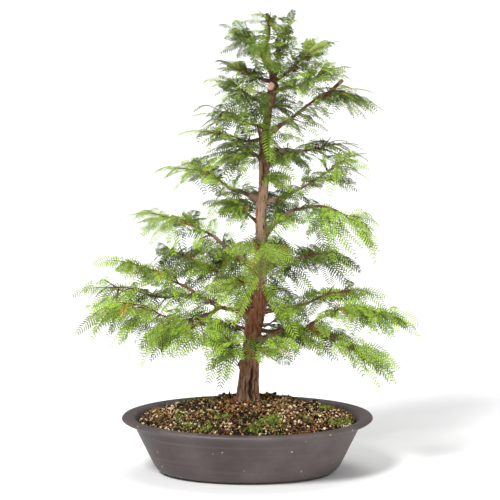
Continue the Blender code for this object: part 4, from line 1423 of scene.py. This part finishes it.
# More shoots at given places, to alternate sides, on the same rule as those of the stems
def growMoreShoots(limb, box, places, length, angle, pitches, chance):
    for k, t in enumerate(places):
        ahead = limb.tangent(t)
        turn = (1 if k % 2 else -1) * angle
        pitch = chance.uniform(*pitches)
        direction, across = leaving(ahead, squareTo(ahead, nearlyUp), turn, pitch)
        size = length * chance.uniform(*spraySettings["morePlay"])
        shoot = (limb.point(t), direction, np.cross(direction, across), size)
        growShoot(box, shoot, min(t + spraySettings["brightOut"][1], 1.0), chance)


# Tufts on the trunk: height, azimuth, pitch, length and tint of each feather
tuftRows = (
    (0.1960, 262, -42, 0.046, "leafNeedles"), (0.1950, 290, -48, 0.044, "leafNeedles"),
    (0.1970, 232, -36, 0.042, "deepNeedles"), (0.1960, 316, -44, 0.042, "deepNeedles"),
    (0.2350, 232, 48, 0.022, "amberNeedles"), (0.2370, 205, 62, 0.024, "limeNeedles"),
    (0.2340, 250, 72, 0.020, "amberNeedles"), (0.2360, 220, 30, 0.024, "limeNeedles"),
    (0.4980, 275, -52, 0.044, "limeNeedles"), (0.4940, 290, -58, 0.042, "springNeedles"),
    (0.2900, 232, -34, 0.052, "limeNeedles"), (0.2960, 214, -20, 0.050, "springNeedles"),
)
# More of them by rule: lowest, highest, count, first azimuth and the arc they keep to, pitches
# and lengths. They are leaf green or deep green, more of the first in front: painted shade behind.
tuftRules = (
    (0.440, 0.560, 36, 0, 360, (-30, 40), (0.034, 0.052)),
    (0.560, 0.655, 34, 0, 360, (-10, 50), (0.026, 0.040)),
    (0.588, 0.656, 16, 200, 150, (-72, -20), (0.026, 0.040)),
    (0.290, 0.346, 20, 0, 360, (-40, 20), (0.040, 0.060)),
)
# Feathers that hang in front of the trunk, among those of the boughs: x, y, z, azimuth, pitch,
# length and tint
hangRows = (
    (-0.0316, -0.030, 0.2040, 196, -64, 0.060, "leafNeedles"),
    (-0.0260, -0.034, 0.2000, 215, -74, 0.058, "deepNeedles"),
    (-0.0380, -0.026, 0.1960, 190, -58, 0.052, "springNeedles"),
    (-0.0200, -0.036, 0.1900, 200, -80, 0.050, "leafNeedles"),
    (-0.0240, -0.040, 0.1700, 205, -60, 0.036, "limeNeedles"),
    (-0.0180, -0.040, 0.1640, 210, -50, 0.034, "paleNeedles"),
    (-0.0300, -0.036, 0.1660, 192, -52, 0.032, "springNeedles"),
    (0.0260, -0.030, 0.1960, 330, -60, 0.036, "leafNeedles"),
    (0.0480, -0.030, 0.2000, 320, -66, 0.044, "paleNeedles"),
    (0.0600, -0.026, 0.2040, 340, -58, 0.048, "springNeedles"),
    (0.0720, -0.030, 0.2000, 350, -62, 0.046, "paleNeedles"),
    (0.0150, -0.032, 0.2930, 214, -38, 0.046, "limeNeedles"),
    (0.0120, -0.034, 0.2800, 196, -30, 0.048, "springNeedles"),
    (0.0040, -0.036, 0.2660, 205, -44, 0.042, "limeNeedles"),
    (0.0240, -0.034, 0.2860, 332, -52, 0.050, "springNeedles"),
    (0.0300, -0.036, 0.2720, 318, -58, 0.050, "leafNeedles"),
    (0.0360, -0.040, 0.2600, 340, -48, 0.052, "limeNeedles"),
    (0.0420, -0.040, 0.2440, 326, -60, 0.050, "springNeedles"),
)
tuftSettings = {
    "turn": 137.5,  # from one tuft to the next
    "leafy": (0.6, 0.3),  # share that is leaf green, and how much more in front; the rest is deep green, as painted shade
    "sunk": 0.8,  # share of the trunk's radius at which a feather starts
    "wide": 0.0125,
    "sag": 0.25,
    "half": 1.0,  # the box round them: half its width and its top
    "top": 0.68,
}


# Feathers from the trunk's own bark, origin = axis + radius sunk along the azimuth, and the
# hanging ones
def growTufts(s):
    chance = np.random.default_rng(61)
    box = (np.array([-s["half"], -s["half"], 0.0]), np.array([s["half"], s["half"], s["top"]]))
    rows = list(tuftRows)
    share, more = s["leafy"]
    for low, high, count, first, arc, pitches, lengths in tuftRules:
        for k in range(count):
            azimuth = first + k * s["turn"] % arc
            # painted shade: more deep green toward the back
            leafShare = share - more * math.sin(math.radians(azimuth))
            tint = "leafNeedles" if chance.uniform() < leafShare else "deepNeedles"
            height = between((low, high), (k + 0.5) / count)
            rows.append((height, azimuth, chance.uniform(*pitches), chance.uniform(*lengths), tint))
    places = []
    for height, azimuth, *rest in rows:
        x, y, radius = smoothRows(trunkRows, np.array([height]))[0]
        origin = np.array([x, y, height]) + aim(azimuth) * radius * s["sunk"]
        places.append((*origin, azimuth, *rest))
    for x, y, z, azimuth, pitch, length, tint in (*places, *hangRows):
        origin, heading = np.array([x, y, z]), aim(azimuth, pitch)
        addFeather(box, origin, heading, length, s["wide"], s["sag"], tint, chance)


# Every limb gets the solids' shoots carried on, feathers along its stem, and on a bough that is
# bare in the solids, more shoots and feathers within a short reach of it
def growCrown(s, f):
    met = 0
    margin = np.array(f["boxMargin"])
    above, further = f["leftMargin"]
    for limb in limbs.values():
        chance = np.random.default_rng(500 + seedOf(limb.name))
        corners = nodeCorners("mass_" + limb.name)
        box = (corners.min(0) - margin, corners.max(0) + margin)
        box[0][2] -= f["hangMargin"]
        if limb.origin[2] > above and limb.outward[0] < 0:
            box[0][0] -= further
        start, end = limb.stemStart(), limb.stemEnd()
        path, t = limbPath(limb, start, end + s["stemPast"], s["stemPoints"])
        addTwig(path, limbRadius(limb, t))
        shoots, same = solidShoots(limb, corners, growthSettings)
        met += same
        for shoot in shoots:
            out = np.linalg.norm(shoot[0] - limb.point(start)) / limb.whole
            growShoot(box, shoot, min(out + s["brightOut"][0], 1.0), chance)
        near = min(max(start, s["stemFrom"] / limb.whole), end)
        growStem(limb, box, near, end, s["stemStep"], s["stemLength"], s["stemPitch"], chance)
        if limb.bare:
            low = limb.bare * between(s["boughFrom"], shareOf(limb.origin[2], *s["highFrom"]))
            root, reach = limb.point(low), s["boughReach"]
            wide = (np.minimum(box[0], root - reach), np.maximum(box[1], root + reach))
            step, lengths, pitches = s["boughStep"], s["boughLength"], s["boughPitch"]
            growStem(limb, wide, low, limb.bare, step, lengths, pitches, chance)
            places = limb.bare * np.array(s["boughShoots"])
            growMoreShoots(limb, wide, places, *s["boughShoot"], chance)
        if limb.origin[2] > s["crowdFrom"][1]:
            growMoreShoots(limb, box, end * np.array(s["tipShoots"]), *s["tipShoot"], chance)
    print(f"{met} shoots of the solids met")


# Points of each feather's rachis: origin + ahead L s - up sag L s^2
def rachisPoints(rows, share):
    length, sag = rows[:, atLength, None], rows[:, atSag, None]
    out = rows[:, None, atAhead] * (length * share)[..., None]
    return rows[:, None, atOrigin] + out - upward * (sag * length * share**2)[..., None]


# Needles of a group of feathers with the same count of pairs. Each leaves the rachis at an
# angle that closes toward the tip, and is shorter at the foot and the tip of the feather.
def needleArrays(rows, pairs, chance):
    s = featherSettings
    ahead, up = rows[:, None, atAhead], rows[:, None, atUp]
    share = s["bareFoot"] + (1 - s["bareFoot"]) * (np.arange(pairs) + 0.4) / pairs
    tangent = unit(ahead - upward * (2 * rows[:, atSag, None] * share)[..., None])
    side = unit(np.cross(up, ahead))
    side = unit(side - tangent * np.sum(side * tangent, -1, keepdims=True))
    normal = np.cross(tangent, side)[:, :, None]
    shape = (len(rows), pairs, 2)
    angle = np.radians(between(s["angles"], share))[None, :, None]
    angle = angle + chance.normal(0, s["anglePlay"], shape)
    lift = chance.normal(*s["lift"], shape)[..., None]
    outward = (np.sin(angle) * [1.0, -1.0])[..., None]
    direction = tangent[:, :, None] * np.cos(angle)[..., None] + side[:, :, None] * outward
    direction = unit(direction + normal * lift)
    least, more, much, start, power = s["outline"]
    envelope = least + more * np.sin(math.pi * np.clip(share * much + start, 0, 1)) ** power
    twist = chance.normal(0, s["twist"], (*shape, 1))
    play = chance.uniform(*s["sizePlay"], shape)
    size = rows[:, atNeedle, None, None] * envelope[None, :, None] * play
    foot = np.broadcast_to(rachisPoints(rows, share)[:, :, None], (*shape, 3))
    face = normal + np.cross(direction, normal) * twist
    return foot.reshape(-1, 3), direction.reshape(-1, 3), face.reshape(-1, 3), size.ravel()


needleFaces = np.array([(0, 2, 1), (1, 2, 4), (1, 4, 3), (0, 1, 3), (0, 3, 4), (0, 4, 2)])
# where a needle is widest and how far it stands out there, how far its end droops and bends
# back, and how blunt it is
needleShape = {"widest": 0.32, "raised": 0.035, "droop": 0.10, "back": 0.02, "blunt": 0.30}


# A needle: five corners, with a narrow foot, its full width at a third, and a blunt end that
# droops
def needleMesh(foot, direction, face, size, width):
    across = unit(np.cross(face, direction))
    face = np.cross(direction, across)
    across, size = across * width, size[:, None]
    s = needleShape
    widest = foot + direction * s["widest"] * size + face * s["raised"] * size
    end = foot + direction * size - upward * s["droop"] * size - face * s["back"] * size
    half, blunt = across * 0.5, across * s["blunt"]
    points = np.stack([foot, widest + half, widest - half, end + blunt, end - blunt], axis=1)
    return points, needleFaces + np.arange(len(foot))[:, None, None] * len(points[0])


# One piece for each tint. A feather has length / step pairs of needles, and the feathers of a
# tint are worked out in groups of the same count.
def makeNeedles(s):
    rows = np.array(feathers)
    pairs = np.clip(np.round(rows[:, atLength] / s["needleStep"]), *s["pairs"]).astype(int)
    total = 0
    for index, (name, tints) in enumerate(tintSettings.items()):
        chance = np.random.default_rng(900 + index)
        own = rows[:, atTint] == index
        counts = np.unique(pairs[own])
        found = [needleArrays(rows[own & (pairs == count)], count, chance) for count in counts]
        foot, direction, face, size = (np.concatenate(a) for a in zip(*found))
        points, triangles = needleMesh(foot, direction, face, size, s["needleWidth"])
        colours = tuple(zip(s["needleTints"], tints))
        made = speckled(name, s["needleFinish"], s["needleNoise"], colours)
        putPiece(name, points, triangles, made, massNodes, smooth=False)
        total += len(foot)
    print(f"{len(feathers)} feathers of {total} needles")


# Each feather's rachis as a thin tube along the same bending line
def makeRachises(s):
    paths = rachisPoints(np.array(feathers), np.linspace(0, s["rachisEnd"], s["rachisPoints"]))
    radii = np.broadcast_to(np.linspace(*s["rachisRadius"], s["rachisPoints"]), paths.shape[:2])
    points, triangles = tubes(paths, radii, 3)[:2]
    made = speckled("greenRachis", *s["rachisGreen"])
    putPiece("greenRachises", points, triangles, made, massNodes)


twigSettings = {
    "sides": (5, 8),  # of short twigs and of stems
    "short": 10,  # at most so many points
    "bark": (
        (0.7, 0.3), (240.0, 4.0, 0.6),
        ((0.32, (78, 50, 36)), (0.50, (108, 72, 50)), (0.68, (140, 106, 76))),
        ((240.0, 4.0, 0.6), 0.5, 0.0006),
    ),
}


# Stems and short twigs, each a tube along its own line
def makeTwigs(s):
    parts = []
    for count, rows in twigs.items():
        paths, radii = zip(*rows)
        parts.append(tubes(paths, radii, s["sides"][count > s["short"]])[:2])
    points, triangles = joinParts(parts)
    made = speckled("youngTwigs", *s["bark"])
    putPiece("youngTwigs", points, triangles, made, massNodes)


mossSettings = {
    "seed": 77,
    # x, y, reach and number of sprigs of each patch
    "patches": (
        (-0.039, -0.058, 0.016, 60), (0.032, -0.076, 0.013, 120), (0.036, -0.063, 0.012, 140),
        (-0.134, 0.060, 0.012, 60), (0.110, 0.016, 0.008, 40), (0.140, -0.030, 0.013, 60),
        (-0.095, -0.034, 0.013, 40), (-0.084, -0.069, 0.014, 60), (0.122, -0.050, 0.010, 50),
        (0.012, -0.090, 0.012, 60), (-0.060, -0.085, 0.012, 50), (0.060, 0.070, 0.016, 60),
        (-0.070, 0.062, 0.016, 70), (0.0, 0.085, 0.014, 50), (0.085, -0.052, 0.008, 40),
        (0.0, 0.0, 0.140, 340),
    ),
    "perSprig": 3,
    "within": 0.97,
    # lift, spread of the way they point and how upright, the same of the way they face, size
    "blades": (-0.0004, (0.55, 0.55, 0.55), 1, 1.0, 0, (0.0025, 0.0062)),
    "width": 0.0013,
    "look": (
        (0.7, 0.25), (130.0, 3.0, 0.6),
        ((0.35, (72, 88, 36)), (0.52, (126, 142, 56)), (0.68, (186, 192, 92))),
    ),
}
litterSettings = {
    "seed": 78,
    "count": 700,
    "within": 0.96,
    "blades": (0.0012, (1.0, 1.0, 0.12), 0, 0.3, 1, (0.006, 0.012)),
    "width": 0.0011,
    "look": ((0.8, 0.2), (90.0, 2.0, 0.5), ((0.35, (140, 84, 48)), (0.65, (186, 138, 92)))),
}


# Blades on the ground, of the needles' shape: each points and faces by a normal draw, with as
# much of straight up added as its row says
def layBlades(name, material, x, y, s, chance):
    lift, spread, upright, faceSpread, faceUp, sizes = s["blades"]
    foot = onGround(x, y, lift, soilSettings)
    direction = unit(chance.normal(0, spread, foot.shape) + upward * upright)
    face = unit(chance.normal(0, faceSpread, foot.shape) + upward * faceUp)
    size = chance.uniform(*sizes, len(foot))
    points, triangles = needleMesh(foot, direction, face, size, s["width"])
    made = speckled(material, *s["look"])
    putPiece(name, points, triangles, made, [], smooth=False)


# Sprigs drawn about the middle of each patch, x and y each normal with half its reach
def makeMoss(s, soil):
    chance = np.random.default_rng(s["seed"])
    spots = []
    for x, y, reach, count in s["patches"]:
        away = chance.normal(0, reach * 0.5, (count * s["perSprig"], 2))
        spots.append(np.array([x, y]) + away)
    x, y = np.concatenate(spots).T
    fits = (x / soil["halfLength"]) ** 2 + (y / soil["halfDepth"]) ** 2 < s["within"]
    layBlades("mossSprigs", "moss", x[fits], y[fits], s, chance)


# Fallen needles spread evenly: an even angle, and a radius that is the root of an even draw
def makeLitter(s, soil):
    chance = np.random.default_rng(s["seed"])
    count = s["count"]
    angle, radius = chance.uniform(0, fullTurn, count), np.sqrt(chance.uniform(0, 1, count))
    x = soil["halfLength"] * s["within"] * radius * np.cos(angle)
    y = soil["halfDepth"] * s["within"] * radius * np.sin(angle)
    layBlades("fallenNeedles", "fallenNeedles", x, y, s, chance)


growCrown(spraySettings, featherSettings)
growTufts(tuftSettings)
makeNeedles(featherSettings)
makeRachises(featherSettings)
makeTwigs(twigSettings)
makeMoss(mossSettings, soilSettings)
makeLitter(litterSettings, soilSettings)
print("foliage is in")
